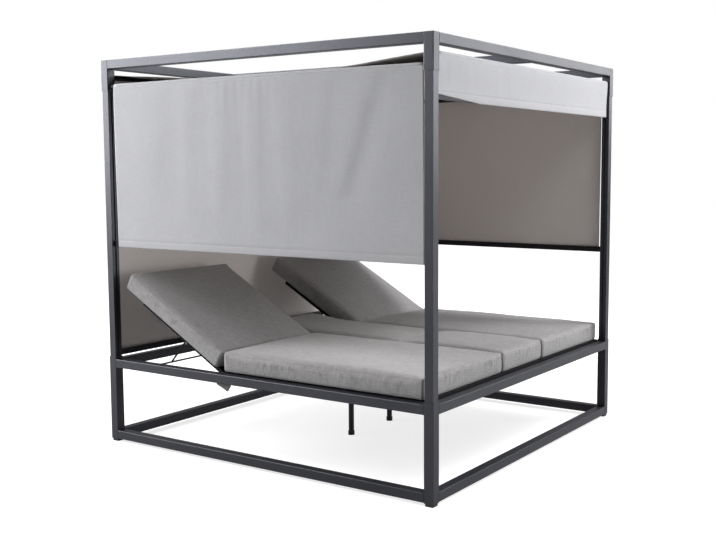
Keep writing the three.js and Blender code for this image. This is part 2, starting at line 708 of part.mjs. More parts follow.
// A cloth hanging from its rod to its bar. Along Y the cloth faces X, along X it faces Y.
function hangingCloth(axis, side, [low, high], planeAt, rodZ, barZ, columns, rows, depth) {
  const [start, end] = (axis === 'y') === (side > 0) ? [low, high] : [high, low];
  const top = rodZ - SEAT_GAP;
  const hemTop = barZ + BAR_HEIGHT;
  const hemOffset = BAR_THICKNESS / 2 + SEAT_GAP + CLOTH / 2;
  return thinSolid(columns, rows, (i, j) => {
    const across = i / columns;
    const isHem = j === rows;
    const down = Math.min(1, j / (rows - 1));
    const z = isHem ? barZ : top + (hemTop - top) * down;
    const ease = down * down * (3 - 2 * down);
    const offset = WRAP_RADIUS + (hemOffset - WRAP_RADIUS) * ease + depth * foldAt(across, down);
    const along = start + (end - start) * across;
    const out = side * (planeAt + offset);
    return axis === 'y' ? new THREE.Vector3(out, along, z) : new THREE.Vector3(along, out, z);
  });
}

// Decks: ladder frames with slats across

const corners4 = ([xa, xb], [ya, yb]) => outline([[xa, ya, 0], [xb, ya, 0], [xb, yb, 0], [xa, yb, 0]]);

// Openings across a deck or back, evenly spaced between two of its bars
function slatHoles(across, from, to, slat, count) {
  const gap = (to - from - slat * (count - 1)) / count;
  return Array.from({ length: count }, (_, index) => {
    const start = from + index * (gap + slat);
    return corners4(across, [start, start + gap]);
  });
}

// A deep rim, with thin slats flush with its top
function slattedPanel(rim, wells, holes, bottom, top) {
  const slats = extrusion(rim, holes, 'z', top - SLAT_THICKNESS, top);
  return union(slats, extrusion(rim, wells, 'z', bottom, top - SLAT_THICKNESS + WELD_EMBED));
}

function deck([xa, xb], [ya, yb], gaps) {
  const across = [xa + DECK_SIDE_BAR, xb - DECK_SIDE_BAR];
  const along = [ya + DECK_SLAT, yb - DECK_SLAT];
  return slattedPanel(
    corners4([xa, xb], [ya, yb]),
    [corners4(across, along)],
    slatHoles(across, along[0], along[1], DECK_SLAT, gaps),
    DECK_BOTTOM,
    DECK_TOP,
  );
}

// Left and right limits of a piece that is given for the side x = -1 or 1
const span = (x, outer, inner) => (x < 0 ? [-outer, -inner] : [inner, outer]);

// Eyes on the seat deck that hold the pins of the back
function hingeEar(xFrom, xTo) {
  const heights = [HINGE_Z - HINGE_EYE_RADIUS, HINGE_Z + HINGE_EYE_RADIUS];
  const arm = block([xFrom, xTo], [SEAT_DECK_END - WELD_EMBED, HINGE_Y], heights);
  const eye = cylinder(HINGE_EYE_RADIUS, ROUND_SIDES, 'x', xFrom, xTo, [HINGE_Y, HINGE_Z]);
  const bore = cylinder(
    HINGE_HOLE_RADIUS,
    ROUND_SIDES,
    'x',
    xFrom - CUT_MARGIN,
    xTo + CUT_MARGIN,
    [HINGE_Y, HINGE_Z],
  );
  return cut(union(arm, eye), bore);
}

// The inner faces of the two side bars of a back, and the way into the back from each
function backBarFaces(x) {
  const [low, high] = span(x, BACK_OUTER_X, BACK_INNER_X);
  return [[low + BACK_SIDE_BAR, 1], [high - BACK_SIDE_BAR, -1]];
}

function seatDeck(x) {
  const panel = deck(span(x, DECK_OUTER_X, DECK_INNER_X), [-DECK_REACH_Y, SEAT_DECK_END], SEAT_GAPS);
  const ears = backBarFaces(x).map(([face, inward]) => {
    const near = face + inward * HINGE_SIDE_GAP;
    const far = near + inward * HINGE_EAR;
    return hingeEar(Math.min(near, far), Math.max(near, far));
  });
  return union(panel, ...ears);
}

const centreDeck = () => deck(
  [-CENTRE_DECK_HALF, CENTRE_DECK_HALF],
  [-DECK_REACH_Y, DECK_REACH_Y],
  CENTRE_GAPS,
);

// Backs are made flat, with Y along the back and Z square to it, then turned up about the hinge
function raise(solid) {
  return solid.rotate([BACK_ANGLE, 0, 0]).translate([0, HINGE_Y, HINGE_Z]);
}

// Middle lines of the two stay arms of one back
function stayArms(x) {
  const middle = (BACK_OUTER_X + BACK_INNER_X) / 2;
  return [x * STAY_ARM_X, x * (2 * middle - STAY_ARM_X)];
}

// One lug under the slat, with the hole for the pin of the stay
function stayLug(x, away) {
  const near = x + away * LUG_OFFSET;
  const far = near + away * LUG_THICKNESS;
  const limits = [Math.min(near, far), Math.max(near, far)];
  const pivot = [STAY_PIVOT_ALONG, -STAY_PIVOT_BELOW];
  const arm = block(
    limits,
    [STAY_PIVOT_ALONG - LUG_RADIUS, STAY_PIVOT_ALONG + LUG_RADIUS],
    [-STAY_PIVOT_BELOW, -DECK_THICKNESS / 2 + WELD_EMBED],
  );
  const eye = cylinder(LUG_RADIUS, ROUND_SIDES, 'x', limits[0], limits[1], pivot);
  const bore = cylinder(
    STAY_RADIUS + PIN_CLEARANCE,
    ROUND_SIDES,
    'x',
    limits[0] - CUT_MARGIN,
    limits[1] + CUT_MARGIN,
    pivot,
  );
  return cut(union(arm, eye), bore);
}

function backFrame(x) {
  const [low, high] = span(x, BACK_OUTER_X, BACK_INNER_X);
  const inside = [low + BACK_SIDE_BAR, high - BACK_SIDE_BAR];
  const half = DECK_THICKNESS / 2;
  const bays = [
    [HINGE_SLAT_START + BACK_SLAT, LUG_SLAT_START],
    [LUG_SLAT_START + BACK_SLAT, BACK_LENGTH - BACK_SLAT],
  ];
  const wells = bays.map((bay) => corners4(inside, bay));
  const holes = bays.flatMap(([from, to]) => slatHoles(inside, from, to, BACK_SLAT, BACK_BAY_GAPS));
  const sheet = outline([
    [low, 0, 0], [inside[0], 0, 0], [inside[0], HINGE_SLAT_START, 0],
    [inside[1], HINGE_SLAT_START, 0], [inside[1], 0, 0], [high, 0, 0],
    [high, BACK_LENGTH, 0], [low, BACK_LENGTH, 0],
  ]);
  const panel = slattedPanel(sheet, wells, holes, -half, half);
  const roundEnds = [[low, inside[0]], [inside[1], high]].map(([from, to]) =>
    cylinder(half, ROUND_SIDES, 'x', from, to, [0, 0]));
  const pins = backBarFaces(x).map(([face, inward]) => {
    const start = face - inward * WELD_EMBED;
    const end = face + inward * HINGE_PIN_LENGTH;
    return cylinder(HINGE_PIN_RADIUS, ROUND_SIDES, 'x', Math.min(start, end), Math.max(start, end), [0, 0]);
  });
  const arms = stayArms(x);
  const lugs = [stayLug(arms[0], x), stayLug(arms[1], -x)];
  return raise(union(panel, ...roundEnds, ...pins, ...lugs));
}

// The prop stay: two arms on pins in the lugs, welded to a long foot rod on the racks
function stay(x) {
  const [footY, footZ] = stayFoot(BACK_ANGLE);
  const pivotY = HINGE_Y + STAY_PIVOT_ALONG * Math.cos(BACK_ANGLE_RAD)
    + STAY_PIVOT_BELOW * Math.sin(BACK_ANGLE_RAD);
  const pivotZ = HINGE_Z + STAY_PIVOT_ALONG * Math.sin(BACK_ANGLE_RAD)
    - STAY_PIVOT_BELOW * Math.cos(BACK_ANGLE_RAD);
  const at = (px, py, pz) => new THREE.Vector3(px, py, pz);
  const foot = rodBetween(
    at(x * STAY_FOOT_INNER_X, footY, footZ),
    at(x * STAY_FOOT_OUTER_X, footY, footZ),
    STAY_RADIUS,
  );
  const arms = stayArms(x).map((armX) =>
    rodBetween(at(armX, pivotY, pivotZ), at(armX, footY, footZ), STAY_RADIUS));
  const pins = stayArms(x).map((armX, index) => {
    const away = index === 0 ? x : -x;
    return rodBetween(
      at(armX - away * STAY_RADIUS, pivotY, pivotZ),
      at(armX + away * STAY_PIN_REACH, pivotY, pivotZ),
      STAY_RADIUS,
    );
  });
  return union(foot, ...arms, ...pins);
}

// Cushions: stacked rings, drawn in between the seams and crowned on top

// Rings of a cushion: [inset as a share of the edge round, height share of the side]
const sideRingShares = [[1, 0], [0.15, 0.1], [0.7, 0.5], [0, 0.92], [0.35, 1]];
// Rings of the crown: [size share, rise share]
const crownRingShares = [[0.93, 0.3], [0.78, 0.66], [0.45, 0.93]];

function cushionOutline(halfX, halfY, inset) {
  const radius = Math.max(CUSHION_CORNER - inset, CUSHION_CORNER / 4);
  const points = [];
  const corners = [[1, 1], [-1, 1], [-1, -1], [1, -1]];
  corners.forEach(([sx, sy], index) => {
    for (let step = 0; step <= 3; step += 1) {
      const turn = (index + step / 3) * (Math.PI / 2);
      points.push([
        sx * (halfX - inset - radius) + radius * Math.cos(turn),
        sy * (halfY - inset - radius) + radius * Math.sin(turn),
      ]);
    }
    const next = corners[(index + 1) % corners.length];
    const startAngle = (index + 1) * (Math.PI / 2);
    for (const share of [0.25, 0.5, 0.75]) {
      const mx = sx + (next[0] - sx) * share;
      const my = sy + (next[1] - sy) * share;
      const pull = CUSHION_SIDE_DRAW * Math.sin(Math.PI * share);
      points.push([
        mx * (halfX - inset - radius) + (radius - pull) * Math.cos(startAngle),
        my * (halfY - inset - radius) + (radius - pull) * Math.sin(startAngle),
      ]);
    }
  });
  return points;
}

function cushion([xa, xb], [ya, yb], bottom, side, crown) {
  const halfX = (xb - xa) / 2;
  const halfY = (yb - ya) / 2;
  const rings = [
    ...sideRingShares.map(([inset, height]) =>
      ({ points: cushionOutline(halfX, halfY, inset * CUSHION_EDGE_ROUND), z: bottom + height * side })),
    ...crownRingShares.map(([size, rise]) => ({
      points: cushionOutline(halfX, halfY, 0).map(([x, y]) => [x * size, y * size]),
      z: bottom + side + rise * crown,
    })),
  ];
  const count = rings[0].points.length;
  const positions = [];
  rings.forEach(({ points, z }) => points.forEach(([x, y]) => positions.push(x, y, z)));
  const bottomCentre = rings.length * count;
  positions.push(0, 0, bottom, 0, 0, bottom + side + crown);
  const indices = [];
  for (let level = 0; level < rings.length - 1; level += 1) {
    for (let i = 0; i < count; i += 1) {
      const a = level * count + i;
      const b = level * count + ((i + 1) % count);
      indices.push(a, b, b + count, a, b + count, a + count);
    }
  }
  const topRing = (rings.length - 1) * count;
  for (let i = 0; i < count; i += 1) {
    const next = (i + 1) % count;
    indices.push(next, i, bottomCentre, topRing + i, topRing + next, bottomCentre + 1);
  }
  const geometry = new THREE.BufferGeometry();
  geometry.setAttribute('position', new THREE.Float32BufferAttribute(positions, 3));
  geometry.setIndex(indices);
  geometry.translate((xa + xb) / 2, (ya + yb) / 2, 0);
  return toSolid(geometry);
}

const seatCushion = (x) => cushion(
  span(x, CUSHION_OUTER_X, CUSHION_INNER_X),
  [CUSHION_FRONT, SEAT_CUSHION_END],
  CUSHION_BOTTOM,
  CUSHION_SIDE,
  CUSHION_CROWN,
);

const centreCushion = (from, to) => cushion(
  [-CENTRE_CUSHION_HALF, CENTRE_CUSHION_HALF],
  [from, to],
  CUSHION_BOTTOM,
  CUSHION_SIDE,
  CUSHION_CROWN,
);

const backCushion = (x) => raise(cushion(
  span(x, CUSHION_OUTER_X, CUSHION_INNER_X),
  [BACK_CUSHION_START, BACK_CUSHION_END],
  DECK_THICKNESS / 2 + SEAT_GAP,
  BACK_CUSHION_SIDE,
  BACK_CUSHION_CROWN,
));

// The assembly

const assembly = new THREE.Group();
assembly.name = 'daybed_with_canopy';

function add(name, solid, material) {
  const mesh = new THREE.Mesh(toGeometry(solid), material);
  mesh.name = name;
  assembly.add(mesh);
}

const frameDark = () => paint('frame_paint', 0x44474d, 0.55, 0.35);
const frameMetal = () => paint('rod_metal', 0x5b5e64, 0.45, 0.6);
const footPlastic = () => paint('foot_plastic', 0x1c1d1f, 0.7, 0);
const canopyCloth = () => paint('canopy_cloth', 0xb4b4b9, 0.92, 0);
const cushionCloth = () => paint('cushion_cloth', 0x949496, 0.95, 0);

const SIDE_NAMES = { '-1': 'left', 1: 'right' };
const END_NAMES = { '-1': 'front', 1: 'rear' };

for (const y of SIDES) {
  for (const x of SIDES) {
    const corner = `${END_NAMES[y]}_${SIDE_NAMES[x]}`;
    add(`foot_${corner}`, foot(x, y), footPlastic());
    add(`base_post_${corner}`, basePost(x, y), frameDark());
    add(`upper_post_${corner}`, upperPost(x, y), frameDark());
    add(`top_leg_${corner}`, topLeg(x, y), frameDark());
  }
}

for (const y of SIDES) {
  const end = END_NAMES[y];
  add(`bottom_rail_${end}`, endRail(y, FOOT_HEIGHT), frameDark());
  add(`bed_rail_${end}`, endRail(y, BED_RAIL_BOTTOM), frameDark());
  add(`top_rail_${end}`, topEndRail(y), frameDark());
  add(`canopy_rod_${end}`, endRod(y), frameMetal());
}

for (const x of SIDES) {
  const side = SIDE_NAMES[x];
  add(`bottom_rail_${side}`, sideRail(x, FOOT_HEIGHT), frameDark());
  add(`bed_rail_${side}`, sideBedRail(x), frameDark());
  add(`top_rail_${side}`, sideRail(x, HEIGHT - RAIL_HEIGHT), frameDark());
  add(`canopy_rod_${side}`, sideRod(x), frameMetal());
  add(`beam_${side}`, beam(x), frameDark());
  add(`seat_deck_${side}`, seatDeck(x), frameDark());
  add(`back_frame_${side}`, backFrame(x), frameDark());
  add(`prop_stay_${side}`, stay(x), frameMetal());
  add(`seat_cushion_${side}`, seatCushion(x), cushionCloth());
  add(`back_cushion_${side}`, backCushion(x), cushionCloth());
}

add('roof_bar', roofBar(), frameDark());
add('centre_support', centreSupport(), frameDark());
add('centre_deck', centreDeck(), frameDark());
add('centre_cushion_front', centreCushion(CUSHION_FRONT, FRONT_CENTRE_END), cushionCloth());
add('centre_cushion_rear', centreCushion(REAR_CENTRE_START, REAR_CENTRE_END), cushionCloth());

add('canopy_bar_left', weightBar('y', UPPER_FACE_Y, -POST_X, LEFT_BAR_Z), frameMetal());
add('canopy_bar_right', weightBar('y', UPPER_FACE_Y, POST_X, RIGHT_BAR_Z), frameMetal());
add('canopy_bar_front', weightBar('x', UPPER_FACE_X, -POST_Y, FRONT_BAR_Z), frameMetal());
add('canopy_bar_rear', weightBar('x', UPPER_FACE_X, POST_Y, REAR_BAR_Z), frameMetal());

add('roof_cloth_side', sideRoofCloth(8), canopyCloth());
add('roof_cloth_long', longRoofCloth(8), canopyCloth());
add(
  'curtain_left',
  hangingCloth('y', -1, SIDE_CLOTH_ENDS, POST_X, SIDE_ROD_Z, LEFT_BAR_Z, 40, 6, FOLD_DEPTH),
  canopyCloth(),
);
add(
  'curtain_right',
  hangingCloth('y', 1, SIDE_CLOTH_ENDS, POST_X, SIDE_ROD_Z, RIGHT_BAR_Z, 40, 6, FOLD_DEPTH),
  canopyCloth(),
);
add(
  'curtain_front',
  hangingCloth('x', -1, LONG_CLOTH_ENDS, POST_Y, END_ROD_Z, FRONT_BAR_Z, 32, 4, VALANCE_FOLD_DEPTH),
  canopyCloth(),
);
add(
  'curtain_rear',
  hangingCloth('x', 1, LONG_CLOTH_ENDS, POST_Y, END_ROD_Z, REAR_BAR_Z, 32, 5, FOLD_DEPTH),
  canopyCloth(),
);

export default assembly;
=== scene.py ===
import json
import math

import bmesh
import bpy
import numpy as np
from mathutils import Matrix, Vector, noise


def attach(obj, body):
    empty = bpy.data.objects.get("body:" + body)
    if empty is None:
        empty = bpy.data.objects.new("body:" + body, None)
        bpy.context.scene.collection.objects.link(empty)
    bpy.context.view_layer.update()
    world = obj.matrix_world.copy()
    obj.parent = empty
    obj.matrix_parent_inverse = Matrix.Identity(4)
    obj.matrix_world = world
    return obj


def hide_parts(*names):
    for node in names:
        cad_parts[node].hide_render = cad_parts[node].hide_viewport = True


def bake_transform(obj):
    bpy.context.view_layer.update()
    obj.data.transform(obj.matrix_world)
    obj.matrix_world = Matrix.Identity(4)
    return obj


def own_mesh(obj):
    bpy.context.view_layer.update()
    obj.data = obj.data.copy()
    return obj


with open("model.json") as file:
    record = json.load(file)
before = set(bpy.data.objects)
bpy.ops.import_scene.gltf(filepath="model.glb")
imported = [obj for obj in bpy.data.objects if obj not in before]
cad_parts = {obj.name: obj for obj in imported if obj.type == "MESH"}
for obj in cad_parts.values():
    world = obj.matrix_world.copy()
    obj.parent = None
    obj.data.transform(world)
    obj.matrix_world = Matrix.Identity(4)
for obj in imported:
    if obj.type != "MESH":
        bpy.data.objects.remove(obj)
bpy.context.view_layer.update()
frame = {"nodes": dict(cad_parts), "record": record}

# Sizes of the daybed in metres, as in the solids. X runs across the bed, Y towards its head end.

# Middle planes of the posts, with the rods in them, and the heights of the rods
POST_X = 0.975
POST_Y = 1.0075
SIDE_ROD_Z = 1.911
END_ROD_Z = 1.961

# The canopy cloth: its thickness, where its middle runs round a rod, the side edges of both cloths
CLOTH = 0.0014
WRAP_RADIUS = 0.0144
SIDE_CLOTH = (-0.978, 0.950)
LONG_CLOTH = (-0.940, 0.940)

# The bars in the curtains: height, half thickness and the height of their lower edges at rest
BAR_HEIGHT = 0.030
BAR_HALF = 0.007
BAR_Z = {"left": 1.065, "right": 0.984, "front": 1.770, "rear": 0.468}

# The backs turn about this line, and stand at this angle at rest
HINGE_Y = 0.262
HINGE_Z = 0.4535
BACK_ANGLE = math.radians(29.5)


# Camera and light

# The photograph's size in pixels
PHOTO_WIDTH = 716
PHOTO_HEIGHT = 540
SENSOR_WIDTH = 36.0


def photo_camera():
    """A camera where the photograph was taken, with its view angle and small lens shift."""
    eye = (-4.6618, -3.2769, 1.4766)
    yaw, pitch, roll = 0.98580, -0.09520, -0.00291
    focal_px, centre_x, centre_y = 1011.91, 397.98, 265.28
    level = math.cos(pitch)
    forward = Vector((math.sin(yaw) * level, math.cos(yaw) * level, math.sin(pitch)))
    right = forward.cross(Vector((0, 0, 1))).normalized()
    up = right.cross(forward)
    turned_right = right * math.cos(roll) + up * math.sin(roll)
    turned_up = up * math.cos(roll) - right * math.sin(roll)
    data = bpy.data.cameras.new("photo_camera")
    data.sensor_width = SENSOR_WIDTH
    data.lens = focal_px / PHOTO_WIDTH * SENSOR_WIDTH
    data.shift_x = (PHOTO_WIDTH / 2 - centre_x) / PHOTO_WIDTH
    data.shift_y = (centre_y - PHOTO_HEIGHT / 2) / PHOTO_WIDTH
    data.clip_end = 60
    camera = bpy.data.objects.new("photo_camera", data)
    bpy.context.scene.collection.objects.link(camera)
    place = Matrix((turned_right, turned_up, -forward)).transposed().to_4x4()
    place.translation = Vector(eye)
    camera.matrix_world = place
    bpy.context.scene.camera = camera


def soft_light(name, at, towards, size, power):
    """A square soft box of a given side, aimed at a point."""
    data = bpy.data.lights.new(name, "AREA")
    data.shape = "RECTANGLE"
    data.size = data.size_y = size
    data.energy = power
    lamp = bpy.data.objects.new(name, data)
    bpy.context.scene.collection.objects.link(lamp)
    lamp.location = at
    lamp.rotation_euler = (Vector(towards) - Vector(at)).to_track_quat("-Z", "Y").to_euler()


# Shader helpers

def feed(tree, socket, value):
    """Gives a socket its value, or its link where the value is another socket."""
    if isinstance(value, bpy.types.NodeSocket):
        tree.links.new(value, socket)
    else:
        socket.default_value = value


def put(tree, kind, inputs=None, **settings):
    """One shader node with its settings and its inputs, given as values or as other sockets."""
    node = tree.nodes.new(kind)
    for key, value in settings.items():
        setattr(node, key, value)
    for key, value in (inputs or {}).items():
        feed(tree, node.inputs[key], value)
    return node


def sums(tree, operation, a, b=0.0, c=0.0):
    return put(tree, "ShaderNodeMath", {0: a, 1: b, 2: c}, operation=operation).outputs[0]


def mixed(tree, share, a, b):
    """A colour between a and b, which are sockets or plain red, green and blue."""
    ends = [end if isinstance(end, bpy.types.NodeSocket) else (*end, 1) for end in (a, b)]
    return put(tree, "ShaderNodeMix", {0: share, 6: ends[0], 7: ends[1]}, data_type="RGBA").outputs[2]


def ranged(tree, value, from_low, from_high, to_low, to_high):
    inputs = {0: value, 1: from_low, 2: from_high, 3: to_low, 4: to_high}
    return put(tree, "ShaderNodeMapRange", inputs).outputs[0]


def split_apart(tree, vector):
    return put(tree, "ShaderNodeSeparateXYZ", {0: vector}).outputs


def joined(tree, x, y, z=0.0):
    return put(tree, "ShaderNodeCombineXYZ", {0: x, 1: y, 2: z}).outputs[0]


def noise_at(tree, place, scale=1.0, detail=2.0):
    """Smooth noise between zero and one."""
    inputs = {"Vector": place, "Scale": scale, "Detail": detail}
    return put(tree, "ShaderNodeTexNoise", inputs).outputs[0]


def noise_about_zero(tree, place, scale=1.0, detail=2.0):
    return sums(tree, "SUBTRACT", noise_at(tree, place, scale, detail), 0.5)


def own_place(tree):
    return put(tree, "ShaderNodeTexCoord").outputs["Object"]


def cloth_map(tree, name):
    return put(tree, "ShaderNodeUVMap", uv_map=name).outputs[0]


def bump(tree, shader, height, strength, distance):
    inputs = {"Height": height, "Strength": strength, "Distance": distance}
    feed(tree, shader.inputs["Normal"], put(tree, "ShaderNodeBump", inputs).outputs[0])


def new_group(name, inputs, outputs):
    """A node group with named inputs (name, kind, default) and named outputs (name, kind)."""
    tree = bpy.data.node_groups.new(name, "ShaderNodeTree")
    for label, kind, default in inputs:
        socket = tree.interface.new_socket(label, in_out="INPUT", socket_type=kind)
        if default is not None:
            socket.default_value = default
    for label, kind in outputs:
        tree.interface.new_socket(label, in_out="OUTPUT", socket_type=kind)
    given = tree.nodes.new("NodeGroupInput").outputs
    return tree, given, tree.nodes.new("NodeGroupOutput").inputs


def woven_cloth_group():
    """Plain weave with slubs. The vector is in metres on the cloth; the pitch is threads to a metre."""
    tree, given, result = new_group(
        "woven_cloth",
        [
            ("Vector", "NodeSocketVector", None),
            ("Thread Pitch", "NodeSocketFloat", 900.0),
            ("Slub Length", "NodeSocketFloat", 0.03),
            ("Slub Strength", "NodeSocketFloat", 1.0),
        ],
        [("Tone", "NodeSocketFloat"), ("Height", "NodeSocketFloat")],
    )
    # A slub is about three threads wide, and those along the second thread are fainter
    slub_pitch_share = 0.3
    second_share = 0.7
    weave_tone_share = 0.12
    weave_height_share = 0.5
    other_noise = 3.7
    places = split_apart(tree, given["Vector"])
    angle = sums(tree, "MULTIPLY", given["Thread Pitch"], math.pi)
    warp = sums(tree, "SINE", sums(tree, "MULTIPLY", places[0], angle))
    weft = sums(tree, "SINE", sums(tree, "MULTIPLY", places[1], angle))
    crossing = sums(tree, "MULTIPLY", warp, weft)
    pitch_along = sums(tree, "DIVIDE", 1.0, given["Slub Length"])
    pitch_across = sums(tree, "MULTIPLY", given["Thread Pitch"], slub_pitch_share)
    along_first = joined(tree, sums(tree, "MULTIPLY", places[0], pitch_along),
                         sums(tree, "MULTIPLY", places[1], pitch_across))
    along_second = joined(tree, sums(tree, "MULTIPLY", places[0], pitch_across),
                          sums(tree, "MULTIPLY", places[1], pitch_along), other_noise)
    first = noise_about_zero(tree, along_first, detail=1.0)
    second = noise_about_zero(tree, along_second, detail=1.0)
    slub = sums(tree, "ADD", first, sums(tree, "MULTIPLY", second, second_share))
    slub = sums(tree, "MULTIPLY", slub, given["Slub Strength"])
    tone = sums(tree, "ADD", slub, sums(tree, "MULTIPLY", crossing, weave_tone_share))
    height = sums(tree, "ADD", sums(tree, "MULTIPLY", crossing, weave_height_share), slub)
    feed(tree, result["Tone"], tone)
    feed(tree, result["Height"], height)
    return tree


def cloudy_tone_group():
    """Broad uneven tone, as handling, dust and sun leave it."""
    tree, given, result = new_group(
        "cloudy_tone",
        [
            ("Vector", "NodeSocketVector", None),
            ("Patch Size", "NodeSocketFloat", 0.3),
            ("Contrast", "NodeSocketFloat", 1.0),
        ],
        [("Tone", "NodeSocketFloat")],
    )
    scale = sums(tree, "DIVIDE", 1.0, given["Patch Size"])
    cloud = noise_about_zero(tree, given["Vector"], scale, detail=4.0)
    feed(tree, result["Tone"], sums(tree, "MULTIPLY", cloud, given["Contrast"]))
    return tree


def powder_grain_group():
    """The fine orange peel and speckle of a powder coat."""
    tree, given, result = new_group(
        "powder_grain",
        [
            ("Vector", "NodeSocketVector", None),
            ("Grain Size", "NodeSocketFloat", 0.0015),
        ],
        [("Speckle", "NodeSocketFloat"), ("Height", "NodeSocketFloat")],
    )
    scale = sums(tree, "DIVIDE", 1.0, given["Grain Size"])
    fine_scale = sums(tree, "MULTIPLY", scale, 3.0)
    feed(tree, result["Speckle"], noise_about_zero(tree, given["Vector"], fine_scale))
    feed(tree, result["Height"], noise_at(tree, given["Vector"], scale))
    return tree


def stitch_line_group():
    """A row of stitches: Across is the distance from the row, Along the distance down it, in metres."""
    tree, given, result = new_group(
        "stitch_line",
        [
            ("Across", "NodeSocketFloat", 0.0),
            ("Along", "NodeSocketFloat", 0.0),
            ("Stitch Length", "NodeSocketFloat", 0.004),
            ("Thread Width", "NodeSocketFloat", 0.0009),
        ],
        [("Mask", "NodeSocketFloat"), ("Dip", "NodeSocketFloat")],
    )
    stitch_share = 0.72
    distance = sums(tree, "ABSOLUTE", given["Across"])
    near = ranged(tree, distance, 0.0, given["Thread Width"], 1.0, 0.0)
    beat = sums(tree, "FRACT", sums(tree, "DIVIDE", given["Along"], given["Stitch Length"]))
    dash = sums(tree, "LESS_THAN", beat, stitch_share)
    feed(tree, result["Mask"], sums(tree, "MULTIPLY", near, dash))
    dip_width = sums(tree, "MULTIPLY", given["Thread Width"], 3.0)
    feed(tree, result["Dip"], ranged(tree, distance, 0.0, dip_width, 1.0, 0.0))
    return tree


def seam_pucker_group():
    """Short gathers below a seam: Across is the distance from it, Along the distance down it, in metres."""
    tree, given, result = new_group(
        "seam_puckers",
        [
            ("Across", "NodeSocketFloat", 0.0),
            ("Along", "NodeSocketFloat", 0.0),
            ("Gathers Per Metre", "NodeSocketFloat", 36.0),
            ("Reach", "NodeSocketFloat", 0.080),
        ],
        [("Height", "NodeSocketFloat")],
    )
    turns_across = 16.0
    patches_per_metre, other_noise = 6.0, 3.3
    patch_low, patch_high, faintest = 0.42, 0.60, 0.15
    seam_edge, full_height = 0.003, 0.010
    across, along = given["Across"], given["Along"]
    pitch = sums(tree, "MULTIPLY", along, given["Gathers Per Metre"])
    place = joined(tree, pitch, sums(tree, "MULTIPLY", across, turns_across))
    gather = noise_about_zero(tree, place, detail=1.0)
    patch_place = joined(tree, sums(tree, "MULTIPLY", along, patches_per_metre), other_noise)
    patchy = ranged(tree, noise_at(tree, patch_place), patch_low, patch_high, faintest, 1.0)
    below = ranged(tree, across, 0.0, seam_edge, 0.0, 1.0)
    fading = ranged(tree, across, full_height, given["Reach"], 1.0, 0.0)
    shown = sums(tree, "MULTIPLY", sums(tree, "MULTIPLY", below, fading), patchy)
    feed(tree, result["Height"], sums(tree, "MULTIPLY", gather, shown))
    return tree


GROUPS = {
    "seam_puckers": seam_pucker_group(),
    "woven_cloth": woven_cloth_group(),
    "cloudy_tone": cloudy_tone_group(),
    "powder_grain": powder_grain_group(),
    "stitch_line": stitch_line_group(),
}


def use(tree, name, **inputs):
    """The outputs of a node group placed in a material; an underscore in an input's name is a space."""
    node = tree.nodes.new("ShaderNodeGroup")
    node.node_tree = GROUPS[name]
    for key, value in inputs.items():
        feed(tree, node.inputs[key.replace("_", " ")], value)
    return node.outputs


def blank(name, **constants):
    """A new material with its Principled shader and the values that don't vary."""
    material = bpy.data.materials.new(name)
    material.use_nodes = True
    tree = material.node_tree
    shader = tree.nodes["Principled BSDF"]
    for key, value in constants.items():
        shader.inputs[key.replace("_", " ")].default_value = value
    return material, tree, shader


# Finishes

def coated_metal(name, dark, light, roughness, specular=0.7):
    """Powder-coated aluminium: fine peel, faint clouds of tone and a little dust that dulls it."""
    cool_white = (0.85, 0.87, 1.0, 1.0)
    speckle_share = 0.5
    dulling = 0.18
    material, tree, shader = blank(name, Specular_IOR_Level=specular, Specular_Tint=cool_white)
    place = own_place(tree)
    grain = use(tree, "powder_grain", Vector=place, Grain_Size=0.0016)
    cloud = use(tree, "cloudy_tone", Vector=place, Patch_Size=0.22, Contrast=0.9)["Tone"]
    speckle = sums(tree, "MULTIPLY", grain["Speckle"], speckle_share)
    share = sums(tree, "ADD", sums(tree, "ADD", cloud, 0.5), speckle)
    feed(tree, shader.inputs["Base Color"], mixed(tree, share, dark, light))
    dulled = sums(tree, "ADD", sums(tree, "MULTIPLY", cloud, dulling), roughness)
    feed(tree, shader.inputs["Roughness"], dulled)
    bump(tree, shader, grain["Height"], strength=0.12, distance=0.0004)
    return material


def moulded_plastic():
    """The dark plastic of the feet, with a moulded grain."""
    dark, light = (0.012, 0.012, 0.013), (0.03, 0.03, 0.031)
    material, tree, shader = blank("foot_plastic")
    place = own_place(tree)
    grain = use(tree, "powder_grain", Vector=place, Grain_Size=0.0009)
    cloud = use(tree, "cloudy_tone", Vector=place, Patch_Size=0.03, Contrast=1.2)["Tone"]
    share = sums(tree, "ADD", cloud, 0.5)
    feed(tree, shader.inputs["Base Color"], mixed(tree, share, dark, light))
    feed(tree, shader.inputs["Roughness"], ranged(tree, cloud, -0.5, 0.5, 0.5, 0.75))
    bump(tree, shader, grain["Height"], strength=0.2, distance=0.0003)
    return material


def screw_steel():
    """The dark steel of the socket screws."""
    dark, light = (0.05, 0.05, 0.055), (0.12, 0.12, 0.125)
    material, tree, shader = blank("screw_steel", Metallic=1.0)
    cloud = use(tree, "cloudy_tone", Vector=own_place(tree), Patch_Size=0.004, Contrast=1.0)["Tone"]
    share = sums(tree, "ADD", cloud, 0.5)
    feed(tree, shader.inputs["Base Color"], mixed(tree, share, dark, light))
    feed(tree, shader.inputs["Roughness"], ranged(tree, cloud, -0.5, 0.5, 0.3, 0.5))
    return material


